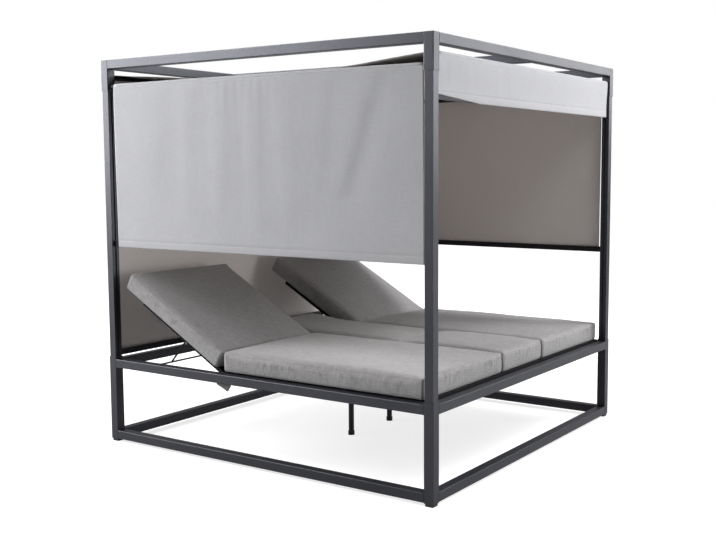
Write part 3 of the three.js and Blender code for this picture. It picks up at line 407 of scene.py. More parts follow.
def cloth_material(name, dark, light, *, pitch, slub, slub_length, sheen, edge_rows, bump_height,
                   inner=None, pucker=0):
    """Woven outdoor cloth.

    edge_rows are distances of stitch rows from an edge or seam, inner is a lighter, warm colour painted
    on the side that faces the bed as painted light, for light through the cloth and bounced inside,
    and pucker is how strongly the cloth gathers below its seams, with painted shade in the gathers.
    """
    # The darker end of the weave in the painted inside light
    painted_inside_dark_share = 0.86
    thread_lift = 1.25
    stitch_share, stitch_depth = 0.7, 1.5
    # Painted shade in the gathers' hollows: how deep a hollow is at full shade, and how far that shade goes
    # towards the dark colour
    gather_low, gather_shade = 0.16, 0.85
    material, tree, shader = blank(name, Sheen_Weight=sheen, Sheen_Roughness=0.6, Specular_IOR_Level=0.25)
    place = cloth_map(tree, "cloth")
    weave = use(tree, "woven_cloth", Vector=place, Thread_Pitch=pitch, Slub_Length=slub_length,
                Slub_Strength=slub)
    cloud = use(tree, "cloudy_tone", Vector=place, Patch_Size=0.28, Contrast=0.5)["Tone"]
    share = sums(tree, "ADD", sums(tree, "ADD", weave["Tone"], 0.5), cloud)
    colour = mixed(tree, share, dark, light)
    # Painted light: the side that faces the bed gets the lighter, warm inner colour instead of the cloth's
    # own, for light through the cloth and bounced inside the canopy
    if inner:
        painted_inside_dark = [channel * painted_inside_dark_share for channel in inner]
        facing = split_apart(tree, cloth_map(tree, "facing"))
        colour = mixed(tree, facing[0], colour, mixed(tree, share, painted_inside_dark, inner))
    height = weave["Height"]
    from_seam, along_seam, _ = split_apart(tree, cloth_map(tree, "edge"))
    thread = [min(1.0, channel * thread_lift) for channel in light]
    for row in edge_rows:
        across = sums(tree, "SUBTRACT", from_seam, row)
        stitch = use(tree, "stitch_line", Across=across, Along=along_seam)
        colour = mixed(tree, sums(tree, "MULTIPLY", stitch["Mask"], stitch_share), colour, thread)
        dip = sums(tree, "MULTIPLY", stitch["Dip"], stitch_depth)
        height = sums(tree, "SUBTRACT", height, dip)
    if pucker:
        gathers = use(tree, "seam_puckers", Across=from_seam, Along=along_seam)["Height"]
        height = sums(tree, "ADD", height, sums(tree, "MULTIPLY", gathers, pucker))
        # Painted shade: the hollows of the gathers are darkened towards the dark colour, where shade would
        # fall in them
        gather_hollow_shade = ranged(tree, gathers, -gather_low, 0.0, gather_shade, 0.0)
        colour = mixed(tree, gather_hollow_shade, colour, dark)
    feed(tree, shader.inputs["Base Color"], colour)
    rough = sums(tree, "ADD", sums(tree, "MULTIPLY", weave["Tone"], 0.1), 0.9)
    feed(tree, shader.inputs["Roughness"], rough)
    bump(tree, shader, height, strength=0.5, distance=bump_height)
    return material


FRAME_COAT = coated_metal("frame_coating", (0.009, 0.0092, 0.0115), (0.015, 0.0152, 0.0185), 0.40)
# The deck's coat is painted darker than the frame's, as painted shade for the shadowed gap under the
# cushions; it is the same powder coat
DECK_COAT_PAINTED_SHADE = coated_metal("deck_coating", (0.004, 0.004, 0.0045), (0.007, 0.007, 0.008), 0.60, 0.08)
ROD_COAT = coated_metal("rod_coating", (0.009, 0.009, 0.0105), (0.015, 0.015, 0.0175), 0.55, 0.25)
FOOT_PLASTIC = moulded_plastic()
SCREW_STEEL = screw_steel()
# The canopy's inner colour is painted light; the cloth itself is the same grey on both sides
CANOPY_CLOTH = cloth_material(
    "canopy_cloth", (0.315, 0.316, 0.332), (0.410, 0.411, 0.430),
    pitch=1500.0, slub=0.8, slub_length=0.06, sheen=0.1, edge_rows=(0.014,),
    bump_height=0.0002, inner=(0.74, 0.69, 0.665))
CUSHION_CLOTH = cloth_material(
    "cushion_cloth", (0.164, 0.160, 0.161), (0.310, 0.302, 0.303),
    pitch=900.0, slub=1.15, slub_length=0.05, sheen=0.15, edge_rows=(-0.004, 0.004),
    bump_height=0.0004, pucker=34)

SLOT_MATERIALS = {
    "frame_coating": FRAME_COAT,
    "deck_coating": DECK_COAT_PAINTED_SHADE,
    "rod_coating": ROD_COAT,
    "foot_plastic": FOOT_PLASTIC,
    "canopy_cloth": CANOPY_CLOTH,
    "cushion_cloth": CUSHION_CLOTH,
}


def dress_solids():
    """The rigid solids keep their shape and get the finish of their slot."""
    for part in frame["record"]["subparts"]:
        solid = frame["nodes"][part["node"]]
        for material_slot in solid.material_slots:
            material_slot.material = SLOT_MATERIALS[part["material_slot"]]


# Cloth

def new_piece(name, points, faces, material, finish, **layers):
    """A mesh piece. Each layer gives every face corner its place on the cloth, in metres."""
    mesh = bpy.data.meshes.new(name)
    mesh.from_pydata([tuple(p) for p in points], [], faces)
    for layer_name, values in layers.items():
        layer = mesh.uv_layers.new(name=layer_name)
        layer.data.foreach_set("uv", np.asarray(values, dtype=np.float32).ravel())
    mesh.materials.append(material)
    mesh.polygons.foreach_set("use_smooth", [True] * len(mesh.polygons))
    mesh.update()
    piece = bpy.data.objects.new(name, mesh)
    bpy.context.scene.collection.objects.link(piece)
    return piece


# A point inside the canopy, from which the side of a sheet that faces the bed is told
BED_MIDDLE = np.array([0.0, 0.0, 1.2])


def facing_bed(points, quads, count):
    """For each face of a sheet, one where it faces the bed and zero where it faces away from it."""
    centre = points[quads].mean(axis=1)
    normals = np.cross(points[quads[:, 2]] - points[quads[:, 0]], points[quads[:, 3]] - points[quads[:, 1]])
    thickness = points[quads[0]].mean(axis=0) - points[quads[0] + count].mean(axis=0)
    if (normals[0] * thickness).sum() < 0:
        normals = -normals
    return ((centre - BED_MIDDLE) * normals).sum(axis=1) < 0


def thin_sheet(name, grid, cloth_uv, edge_uv, thickness=CLOTH):
    """A closed thin sheet around a grid of points, shape (rows, columns, 3)."""
    rows, columns = grid.shape[:2]
    across = np.gradient(grid, axis=1)
    down = np.gradient(grid, axis=0)
    normal = np.cross(across, down)
    normal /= np.linalg.norm(normal, axis=2, keepdims=True)
    layers = [grid + normal * thickness / 2, grid - normal * thickness / 2]
    points = np.concatenate([layer.reshape(-1, 3) for layer in layers])
    count = rows * columns
    faces = []
    for j in range(rows - 1):
        for i in range(columns - 1):
            a = j * columns + i
            b, c, d = a + 1, a + columns + 1, a + columns
            faces.append((a, b, c, d))
            faces.append((a + count, d + count, c + count, b + count))
    rim = list(range(columns))
    rim += [j * columns + columns - 1 for j in range(1, rows)]
    rim += [(rows - 1) * columns + i for i in range(columns - 2, -1, -1)]
    rim += [j * columns for j in range(rows - 2, 0, -1)]
    for a, b in zip(rim, rim[1:] + rim[:1]):
        faces.append((a, a + count, b + count, b))
    quads = np.array(faces)
    corners = quads.ravel() % count
    inward = facing_bed(points, quads, count)
    # Marks the faces that get the canopy cloth's painted inside light
    facing = np.repeat(np.stack([inward, np.zeros(len(quads))], axis=1), 4, axis=0)
    piece = new_piece(name, points, faces, CANOPY_CLOTH, "canopy_cloth",
                      cloth=cloth_uv.reshape(-1, 2)[corners], edge=edge_uv.reshape(-1, 2)[corners],
                      facing=facing)
    mesh_build = bmesh.new()
    mesh_build.from_mesh(piece.data)
    bmesh.ops.recalc_face_normals(mesh_build, faces=mesh_build.faces)
    mesh_build.to_mesh(piece.data)
    mesh_build.free()
    return piece


def cloth_places(grid, ends):
    """Places on the cloth, (width, length) and (distance from the side edge, length), and its flat size."""
    columns = grid.shape[1]
    steps = np.linalg.norm(np.diff(grid, axis=0), axis=2).mean(axis=1)
    length = np.concatenate([[0], np.cumsum(steps)])
    full = ends[1] - ends[0]
    flat_u, flat_v = np.meshgrid(np.linspace(0, full, columns), length)
    edge = np.minimum(flat_u, full - flat_u)
    return np.stack([flat_u, flat_v], axis=2), np.stack([edge, flat_v], axis=2), full, length[-1]


def smooth(share):
    """A share from zero to one that starts and ends gently."""
    return share * share * (3 - 2 * share)


def ripple(u, v, scale_u, scale_v, seed):
    """Smooth noise about zero on the cloth."""
    return noise.noise(Vector((u * scale_u, v * scale_v, seed)))


def looseness(u, v, waves):
    """The unevenness of a cloth, from waves given as (depth, waves to a metre in u and in v, seed)."""
    return sum(depth * ripple(u, v, scale_u, scale_v, seed) for depth, scale_u, scale_v, seed in waves)


# Roof cloths

# How far the roof sags, and half the length over which the upper cloth lies on the lower one
ROOF_SAG = 0.025
LAY_HALF = 0.350
# The upper cloth lies above the lower one by the solids' cloth thickness and a gap
SOLID_CLOTH = 0.0016
CROSSING_GAP = 0.0005
# The lower cloth gets loose beyond this distance past the upper one, over this distance
LOOSE_START = 0.02
LOOSE_WIDTH = 0.2
# Mesh lines across a roof cloth, round a rod and along both spans
ROOF_COLUMNS = 61
ROD_STEPS = 8
SIDE_SPAN_STEPS = 70
LONG_SPAN_STEPS = 80
SIDE_ROOF_WAVES = ((0.006, 1.4, 5.0, 2.0), (0.003, 4.0, 9.0, 5.0))
LONG_ROOF_WAVES = ((0.007, 5.0, 1.5, 8.0), (0.003, 10.0, 4.0, 3.0))


def sag_at(x):
    return ROOF_SAG * (1 - (x / POST_X) ** 2)


def over_rods(reach, rod_z, span_steps):
    """The path of a roof cloth: (distance from the middle, height, wrapped) from one side to the other."""
    arc = [(reach + WRAP_RADIUS * math.cos(t), rod_z + WRAP_RADIUS * math.sin(t), 1)
           for t in np.linspace(0, math.pi / 2, ROD_STEPS + 1)]
    span = [(s, rod_z + WRAP_RADIUS, 0) for s in np.linspace(-reach, reach, span_steps + 1)[1:-1]]
    return [(-s, z, w) for s, z, w in arc] + span + arc[::-1]


def side_roof_cloth():
    """The lower cloth, from the left to the right rod."""
    path = over_rods(POST_X, SIDE_ROD_Z, SIDE_SPAN_STEPS)
    across = np.linspace(*SIDE_CLOTH, ROOF_COLUMNS)
    grid = np.zeros((len(path), len(across), 3))
    for j, (x, z, wrapped) in enumerate(path):
        for i, y in enumerate(across):
            drop = 0 if wrapped else sag_at(x)
            loose = 0.0
            past_upper = abs(y) - LAY_HALF - LOOSE_START
            if not wrapped and past_upper > 0:
                ease = min(1.0, past_upper / LOOSE_WIDTH) * min(1.0, (POST_X - abs(x)) / LOOSE_WIDTH)
                loose = ease * looseness(x, y, SIDE_ROOF_WAVES)
            grid[j, i] = (x, y, z - drop + loose)
    uv, edge, width, length = cloth_places(grid, SIDE_CLOTH)
    piece = thin_sheet("roof_cloth_side_sheet", grid, uv, edge)
    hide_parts("roof_cloth_side")
    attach(piece, "bed_frame")


def long_roof_cloth():
    """The upper cloth lies on the lower one in the middle and climbs to its own higher rods."""
    path = over_rods(POST_Y, END_ROD_Z, LONG_SPAN_STEPS)
    across = np.linspace(*LONG_CLOTH, ROOF_COLUMNS)
    lay = SIDE_ROD_Z + WRAP_RADIUS + SOLID_CLOTH + CROSSING_GAP
    grid = np.zeros((len(path), len(across), 3))
    for j, (y, z, wrapped) in enumerate(path):
        climb = max(0.0, (abs(y) - LAY_HALF) / (POST_Y - LAY_HALF))
        for i, x in enumerate(across):
            height = z
            if not wrapped:
                low = lay - sag_at(x)
                ease = min(1.0, climb * 3) * min(1.0, (1 - climb) * 5)
                height = low + (z - low) * climb + ease * looseness(x, y, LONG_ROOF_WAVES)
            grid[j, i] = (x, y, height)
    uv, edge, width, length = cloth_places(grid, LONG_CLOTH)
    piece = thin_sheet("roof_cloth_long_sheet", grid, uv, edge)
    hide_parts("roof_cloth_long")
    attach(piece, "bed_frame")


# Curtains

# Soft folds of each curtain, each a small rise (or fall) of the cloth as one goes along it, from its
# left end as seen from outside: (place at its top, drift to its foot, width, height), in metres
FOLDS = {
    "left": [
        (0.360, -0.050, 0.045, -0.0030), (0.465, 0.024, 0.045, 0.0025), (0.570, -0.038, 0.035, -0.0020),
        (0.684, 0.014, 0.030, 0.0018), (0.813, -0.053, 0.035, -0.0019), (0.911, 0.004, 0.020, 0.0014),
        (1.018, -0.017, 0.030, -0.0021), (1.092, 0.045, 0.025, 0.0013), (1.213, 0.017, 0.045, -0.0010),
        (1.439, -0.111, 0.040, -0.0021), (1.545, -0.179, 0.050, 0.0022), (1.703, -0.305, 0.034, -0.0046),
        (1.800, -0.285, 0.050, 0.0034),
    ],
    "right": [
        (0.300, 0.060, 0.060, -0.0012), (0.460, -0.060, 0.050, 0.0010), (0.620, -0.060, 0.060, -0.0011),
        (0.930, 0.040, 0.070, 0.0012), (1.250, -0.080, 0.060, -0.0011), (1.600, 0.050, 0.060, 0.0011),
    ],
    "front": [
        (0.080, 0.010, 0.012, 0.0010), (0.130, -0.010, 0.014, -0.0010), (0.200, 0.020, 0.030, 0.0014),
        (0.290, 0.005, 0.020, -0.0014), (0.420, -0.015, 0.022, 0.0013), (0.560, 0.020, 0.018, -0.0013),
        (0.640, 0.010, 0.016, 0.0012), (0.760, 0.006, 0.022, -0.0012), (0.900, -0.020, 0.035, 0.0012),
        (1.180, 0.020, 0.035, -0.0012), (1.420, -0.020, 0.035, 0.0012), (1.660, 0.010, 0.030, -0.0012),
    ],
    "rear": [
        (0.250, 0.080, 0.070, -0.0012), (0.600, -0.080, 0.060, 0.0011), (0.930, 0.060, 0.080, -0.0012),
        (1.250, -0.060, 0.060, 0.0012), (1.580, 0.060, 0.070, -0.0011),
    ],
}
# Where each curtain is gathered on its rod: (start, end, gathers, depth)
GATHERS = {
    "left": (0.48, 1.32, 17, 0.0010),
    "right": (0.3, 1.5, 20, 0.0008),
    "front": (0.1, 1.75, 34, 0.0007),
    "rear": (0.4, 1.4, 20, 0.0008),
}
CREASE_WAVES = ((0.0007, 7.0, 1.2, 11.0), (0.0003, 17.0, 2.5, 4.0))
# Shares of a curtain's drop: where folds and gathers come in below the rod, how far along its swell a
# fold starts, and how far gathers reach
FOLD_START_SHARE = 0.05
FOLD_HEAD_SHARE = 0.10
FOLD_FADE_POWER = 0.45
GATHER_START_SHARE = 0.03
GATHER_REACH_SHARE = 0.09
GATHER_HEIGHT_SHARE = 0.6

# The pocket that holds the bar: its seam above the bar, and the cloth's clearance to the bar's face
SEAM_ABOVE_BAR = 0.006
BAR_CLEARANCE = 0.0003
# Its crease below the seam, inward where the hem is tucked in and else a little outward
CREASE_ABOVE_BAR = 0.0040
TUCKED_CREASE = 0.0005
PLAIN_CREASE = -0.0002
# How it runs over the bar's upper edge, down its face and in under its lower edge: (rise, outward)
OVER_BAR = ((0.0015, 0.0), (-0.0015, 0.0006))
FACE_BELOW_TOP = 0.006
FACE_ABOVE_HEM = 0.002
FACE_TAPER = 0.0008
TUCKED_HEM = ((-0.0004, -0.0006), (-0.0010, -0.0022))
# Each curtain gives back the height this far above its pocket's seam; nothing here uses it
BLEND_ABOVE_SEAM = 0.012
# Near the bar, in the lowest share of the drop, the cloth stays this far outside the pocket's line
NEAR_BAR_SHARE = 0.7
STAY_CLEAR = 0.0002
# A lifted hem comes down again over this share of the curtain's width
LIFTED_SHARE = 0.2
CURTAIN_COLUMNS = 241
ROW_CROWDING = 1.15

# The right curtain ends a little short of the side cloth's front edge
RIGHT_TRIM = 0.010


def gather_at(side, along, down):
    """How far the curtain stands out where it is gathered on its rod."""
    start, end, count, depth = GATHERS[side]
    if not start < along < end:
        return 0.0
    share = (along - start) / (end - start)
    uneven = 0.35 * math.sin(5.0 * share + 1.0)
    pleats = math.sin(2 * math.pi * (count * share + uneven)) * math.exp(-down / GATHER_REACH_SHARE)
    fade = min(1.0, down / GATHER_START_SHARE) * GATHER_HEIGHT_SHARE
    return fade * depth * math.sin(math.pi * share) * (pleats + 1)


def fold_at(side, along, down):
    """How far the curtain stands out at a place on it; the folds die out at the rod and the bar."""
    swell = min(1.0, FOLD_HEAD_SHARE + down * (1 - FOLD_HEAD_SHARE))
    fade = min(1.0, down / FOLD_START_SHARE) * math.sin(math.pi * swell) ** FOLD_FADE_POWER
    deep = sum(height / 2 * math.tanh((along - top - drift * down) / width)
               for top, drift, width, height in FOLDS[side])
    return fade * (deep + looseness(along, down, CREASE_WAVES)) + gather_at(side, along, down)


def pocket_rows(bar_z, hold, tucked):
    """Rows of the pocket around the bar from its seam down: (height, distance from the rod's plane)."""
    bar_top = bar_z + BAR_HEIGHT
    rows = [(bar_top + CREASE_ABOVE_BAR, hold - (TUCKED_CREASE if tucked else PLAIN_CREASE))]
    rows += [(bar_top + rise, hold + out) for rise, out in OVER_BAR]
    face = np.linspace(bar_top - FACE_BELOW_TOP, bar_z + FACE_ABOVE_HEM, 4)
    rows += [(z, hold + FACE_TAPER * (z - bar_z) / BAR_HEIGHT) for z in face]
    if tucked:
        rows += [(bar_z + rise, hold + out) for rise, out in TUCKED_HEM]
    return rows


def curtain(side, axis, sign, ends, plane, rod_z, rows, lifted=0.0, tucked=True):
    """A curtain from its rod down past its bar, and a height a little above its pocket's seam.

    Its hem can be lifted at its start, where the bar shows, and a tucked hem turns in below the bar.
    Near the bar the cloth keeps clear of it, also when it is gathered up.
    """
    bar_z = BAR_Z[side]
    seam_z = bar_z + BAR_HEIGHT + SEAM_ABOVE_BAR
    hold = BAR_HALF + BAR_CLEARANCE + CLOTH / 2
    heights = rod_z - (rod_z - seam_z) * np.linspace(0, 1, rows) ** ROW_CROWDING
    stations = [(z, None) for z in heights] + pocket_rows(bar_z, hold, tucked)
    full = ends[1] - ends[0]
    starts_low = (axis == "y") == (sign > 0)
    grid = np.zeros((len(stations), CURTAIN_COLUMNS, 3))
    for j, (row_z, in_pocket) in enumerate(stations):
        down = min(1.0, (rod_z - row_z) / (rod_z - seam_z))
        ease = smooth(down)
        for i, share in enumerate(np.linspace(0, 1, CURTAIN_COLUMNS)):
            along = full * share
            place = ends[0] + along if starts_low else ends[1] - along
            z = row_z
            if in_pocket is None:
                offset = WRAP_RADIUS + (hold - WRAP_RADIUS) * ease + fold_at(side, along, down)
                if down > NEAR_BAR_SHARE:
                    offset = max(offset, hold + STAY_CLEAR)
            else:
                hangs = 1 - lifted / BAR_HEIGHT * max(0.0, 1 - share / LIFTED_SHARE)
                offset = hold + (in_pocket - hold) * hangs
                z = seam_z - (seam_z - row_z) * hangs
            out = sign * (plane + offset)
            grid[j, i] = (out, place, z) if axis == "y" else (place, out, z)
    uv, edge, width, length = cloth_places(grid, ends)
    piece = thin_sheet(f"curtain_{side}_cloth", grid, uv, edge)
    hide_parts(f"curtain_{side}")
    return piece, seam_z + BLEND_ABOVE_SEAM


def hang_curtains():
    """Hangs the left, right and front curtains in place, and the rear one on the bed frame."""
    right_ends = (SIDE_CLOTH[0] + RIGHT_TRIM, SIDE_CLOTH[1])
    for side, axis, sign, ends, plane, rod_z, rows, lifted in (
        ("left", "y", -1, SIDE_CLOTH, POST_X, SIDE_ROD_Z, 64, 0.0),
        ("right", "y", 1, right_ends, POST_X, SIDE_ROD_Z, 60, 0.0),
        ("front", "x", -1, LONG_CLOTH, POST_Y, END_ROD_Z, 24, 0.021),
    ):
        piece, hold_z = curtain(side, axis, sign, ends, plane, rod_z, rows, lifted)
        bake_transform(piece)
    piece, _ = curtain("rear", "x", 1, LONG_CLOTH, POST_Y, END_ROD_Z, 90, tucked=False)
    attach(piece, "bed_frame")
    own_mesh(piece)


# Cushions

# Distances of the mesh lines near a cushion's edge, so that its rounding and seams are smooth
EDGE_LINES = (0.0035, 0.0075, 0.012, 0.017, 0.023, 0.030, 0.038, 0.048)
MESH_STEP = 0.018
# Heights of the mesh lines on the boxing band, as shares of the band
BAND_LINES = (0.0, 0.04, 0.12, 0.25, 0.40, 0.55, 0.70, 0.84, 0.95, 1.0)
BAND_TOP = len(BAND_LINES) - 1
# How wide and how deep the top panel rolls over the long sides and over the ends
SIDE_ROLL = (0.038, 0.030)
END_ROLL = (0.022, 0.015)
# The share of the side's roll that counts as cloth between the seam and the flat top
ROLL_SHARE = 0.6
# The roll is less deep near a corner
CORNER_DROP = 0.010
CORNER_SPREAD = 0.055
# Rounding of the corners in plan, their sewn seam, and how far seams and the base's edge draw in
PLAN_CORNER = 0.014
CORNER_SEAM = 0.0075
CORNER_SEAM_WIDTH = 0.003
CORNER_FACE = 0.02
SEAM_DIP = 0.0018
BASE_INSET = 0.005
# The boxing band: the share of it that turns in at the base, its swell, its puckers and its slow
# drift, with their waves to a metre along the band and from its foot to its seam
BASE_TURN_SHARE = 0.1
BAND_SWELL = 0.0012
PUCKER_DEPTH = 0.0016
PUCKER_WAVES = (26, 1.5)
DRIFT_DEPTH = 0.0022
DRIFT_WAVES = (5, 0.8)
DRIFT_SEED = 9
# Unevenness of the top panel: (depth, waves to a metre, shift of the seed), away from its edge
TOP_WAVES = ((0.0035, 3.0, 0), (0.0016, 9.0, 4))
TOP_WAVES_FROM_EDGE = 0.05
# Length of the head end over which a cushion can be pushed up
LIFT_LENGTH = 0.30
# The base has no seam, so its faces get a place far outside one
FAR_FROM_SEAM = -1.0


def edge_lines(half):
    """The mesh lines across a cushion, close together near its edges."""
    near = [-half] + [-half + d for d in EDGE_LINES]
    inner = half - EDGE_LINES[-1]
    middle = list(np.linspace(-inner, inner, max(2, round(2 * inner / MESH_STEP)) + 1)[1:-1])
    return near + middle + [-v for v in reversed(near)]


def rolled(distance, width, drop):
    """How far the top panel has dropped at a distance from the edge."""
    share = 1 - min(distance, width) / width
    return drop * (1 - math.sqrt(max(0.0, 1 - share * share)))


class BoxedCover:
    """A closed cover with its base at zero: the top panel rolls over its edge down to a seam on the side.

    It holds points, faces and, for each face, the places of its corners on the cloth and from the seam.
    """

    def __init__(self, half_x, half_y, thick, crown, seed, lift):
        self.half_x, self.half_y, self.thick = half_x, half_y, thick
        self.crown, self.seed, self.lift = crown, seed, lift
        self.xs, self.ys = edge_lines(half_x), edge_lines(half_y)
        self.nx, self.ny = len(self.xs) - 1, len(self.ys) - 1
        self.points, self.index = [], {}
        self.faces, self.cloth, self.edge = [], [], []
        self.loop = [(i, 0) for i in range(self.nx)] + [(self.nx, j) for j in range(self.ny)]
        self.loop += [(i, self.ny) for i in range(self.nx, 0, -1)] + [(0, j) for j in range(self.ny, 0, -1)]
        self.following = self.loop[1:] + self.loop[:1]
        self.runs = [0.0]
        for (i, j), (ni, nj) in zip(self.loop, self.following):
            self.runs.append(self.runs[-1] + abs(self.xs[ni] - self.xs[i]) + abs(self.ys[nj] - self.ys[j]))
        self.lay_panels()
        self.lay_band()
        self.cover_panels()
        self.cover_band()

    def from_edges(self, i, j):
        """Distances of a mesh point from the nearer side and from the nearer end."""
        return self.half_x - abs(self.xs[i]), self.half_y - abs(self.ys[j])

    def plan(self, i, j, inset=0.0):
        """A mesh point seen from above, with the corners rounded and the outline drawn in."""
        x, y = self.xs[i], self.ys[j]
        inner_x, inner_y = self.half_x - PLAN_CORNER, self.half_y - PLAN_CORNER
        if abs(x) > inner_x and abs(y) > inner_y:
            a, b = (abs(x) - inner_x) / PLAN_CORNER, (abs(y) - inner_y) / PLAN_CORNER
            a, b = a * math.sqrt(1 - b * b / 2), b * math.sqrt(1 - a * a / 2)
            x = math.copysign(inner_x + a * PLAN_CORNER, x)
            y = math.copysign(inner_y + b * PLAN_CORNER, y)
        return x * (1 - inset / self.half_x), y * (1 - inset / self.half_y)

    def drops(self, i, j):
        """Full drop of the roll over the side and over the end, less towards the sewn corner."""
        from_side, from_end = self.from_edges(i, j)
        near = math.exp(-(from_side ** 2 + from_end ** 2) / CORNER_SPREAD ** 2)
        return [CORNER_DROP * near + drop * (1 - near) for drop in (SIDE_ROLL[1], END_ROLL[1])]

    def rim_drop(self, i, j):
        return self.drops(i, j)[0 if i in (0, self.nx) else 1]

    def pushed_up(self, y):
        """How many times thicker the cushion is where its head end is pushed up."""
        share = min(1.0, max(0.0, (y - self.half_y + LIFT_LENGTH) / LIFT_LENGTH))
        return 1 + self.lift * smooth(share) / self.thick

    def top_height(self, i, j, at_rim):
        x, y = self.xs[i], self.ys[j]
        from_side, from_end = self.from_edges(i, j)
        drop = self.rim_drop(i, j)
        if not at_rim:
            side_drop, end_drop = self.drops(i, j)
            drop_x = rolled(from_side, SIDE_ROLL[0], side_drop)
            drop_y = rolled(from_end, END_ROLL[0], end_drop)
            drop = min(max(side_drop, end_drop), (drop_x ** 3 + drop_y ** 3) ** (1 / 3))
        dome = (1 - abs(x / self.half_x) ** 4) * (1 - abs(y / self.half_y) ** 4)
        loose = sum(depth * noise.noise(Vector((x * scale, y * scale, self.seed + shift)))
                    for depth, scale, shift in TOP_WAVES)
        loose *= min(1.0, min(from_side, from_end) / TOP_WAVES_FROM_EDGE)
        return (self.thick - drop + self.crown * dome + loose) * self.pushed_up(y)

    def band_inset(self, run, share):
        """How far the boxing band is drawn in: it swells between its seams, puckered below the upper one."""
        puckers = PUCKER_DEPTH * ripple(run, share, *PUCKER_WAVES, self.seed) * share
        drift = DRIFT_DEPTH * ripple(run, share, *DRIFT_WAVES, self.seed + DRIFT_SEED)
        at_base = BASE_INSET * max(0.0, 1 - share / BASE_TURN_SHARE) ** 2
        return at_base - math.sin(math.pi * share) * (BAND_SWELL + puckers + drift)

    def add(self, key, point):
        self.index[key] = len(self.points)
        self.points.append(point)

    def lay_panels(self):
        """The points of the top panel and of the base."""
        for j in range(self.ny + 1):
            for i in range(self.nx + 1):
                at_rim = i in (0, self.nx) or j in (0, self.ny)
                top = self.plan(i, j, SEAM_DIP if at_rim else 0.0)
                self.add((i, j, "top"), (*top, self.top_height(i, j, at_rim)))
                self.add((i, j, "base"), (*self.plan(i, j, BASE_INSET if at_rim else 0.0), 0.0))

    def lay_band(self):
        """The points of the boxing band; its lowest and highest rows are the panels' rims."""
        for (i, j), run in zip(self.loop, self.runs):
            seam_z = self.thick - self.rim_drop(i, j)
            off_seam = (max(self.from_edges(i, j)) - CORNER_SEAM) / CORNER_SEAM_WIDTH
            corner_dip = SEAM_DIP * math.exp(-off_seam ** 2)
            for level in range(1, BAND_TOP):
                share = BAND_LINES[level]
                place = self.plan(i, j, self.band_inset(run, share) + corner_dip)
                self.add((i, j, level), (*place, seam_z * share * self.pushed_up(self.ys[j])))
            self.index[(i, j, 0)] = self.index[(i, j, "base")]
            self.index[(i, j, BAND_TOP)] = self.index[(i, j, "top")]

    def panel_edge(self, i, j, ring, panel):
        """Places from the seam for a face of a panel: below zero on the top, far off on the base."""
        mid_x = (self.xs[i] + self.xs[i + 1]) / 2
        mid_y = (self.ys[j] + self.ys[j + 1]) / 2
        by_side = self.half_x - abs(mid_x) < self.half_y - abs(mid_y)
        places = []
        for a, b in ring:
            reach = self.from_edges(a, b)[0 if by_side else 1]
            over = reach + min(ROLL_SHARE * SIDE_ROLL[1], reach)
            places.append((-over if panel == "top" else FAR_FROM_SEAM, self.ys[b] if by_side else self.xs[a]))
        return places

    def cover_panels(self):
        """The faces of the base and of the top panel."""
        for panel in ("base", "top"):
            for j in range(self.ny):
                for i in range(self.nx):
                    ring = [(i, j), (i + 1, j), (i + 1, j + 1), (i, j + 1)]
                    ring = ring if panel == "top" else ring[::-1]
                    self.faces.append([self.index[(a, b, panel)] for a, b in ring])
                    self.cloth.append([(self.xs[a], self.ys[b]) for a, b in ring])
                    self.edge.append(self.panel_edge(i, j, ring, panel))

    def cover_band(self):
        """The faces of the band. At a corner the seam stands upright, and places count from it."""
        for k, ((i, j), (ni, nj)) in enumerate(zip(self.loop, self.following)):
            middle = (max(self.from_edges(i, j)) + max(self.from_edges(ni, nj))) / 2
            band = self.thick - self.rim_drop(i, j)
            runs = [self.runs[k], self.runs[k + 1], self.runs[k + 1], self.runs[k]]
            for level in range(BAND_TOP):
                ring = [(i, j, level), (ni, nj, level), (ni, nj, level + 1), (i, j, level + 1)]
                heights = [BAND_LINES[row] * band for _, _, row in ring]
                self.faces.append([self.index[key] for key in ring])
                self.cloth.append([(run + self.half_x, h - self.half_y) for run, h in zip(runs, heights)])
                if middle < CORNER_FACE:
                    off_seam = [max(self.from_edges(a, b)) - CORNER_SEAM for a, b, _ in ring]
                    self.edge.append(list(zip(off_seam, heights)))
                else:
                    self.edge.append([(band - h, run) for run, h in zip(runs, heights)])


def cushion(name, limits_x, limits_y, base, thick, crown, seed, raised=False, body="bed_frame", lift=0.0):
    """A boxed cushion: a top panel rolled over the edge, seams and a boxing band that puckers below them."""
    half_x = (limits_x[1] - limits_x[0]) / 2
    half_y = (limits_y[1] - limits_y[0]) / 2
    cover = BoxedCover(half_x, half_y, thick, crown, seed, lift)
    points = np.array(cover.points)
    points += np.array([(limits_x[0] + limits_x[1]) / 2, (limits_y[0] + limits_y[1]) / 2, base])
    if raised:
        cos, sin = math.cos(BACK_ANGLE), math.sin(BACK_ANGLE)
        along, above = points[:, 1].copy(), points[:, 2].copy()
        points[:, 1] = HINGE_Y + along * cos - above * sin
        points[:, 2] = HINGE_Z + along * sin + above * cos
    # The seed also shifts the cloth, so that no two cushions have the same slubs
    cloth_corners = np.array([corner for face in cover.cloth for corner in face]) + seed
    edge_corners = np.array([corner for face in cover.edge for corner in face])
    piece = new_piece(f"{name}_cover", points, cover.faces, CUSHION_CLOTH, "cushion_cloth",
                      cloth=cloth_corners, edge=edge_corners)
    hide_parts(name)
    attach(piece, body)


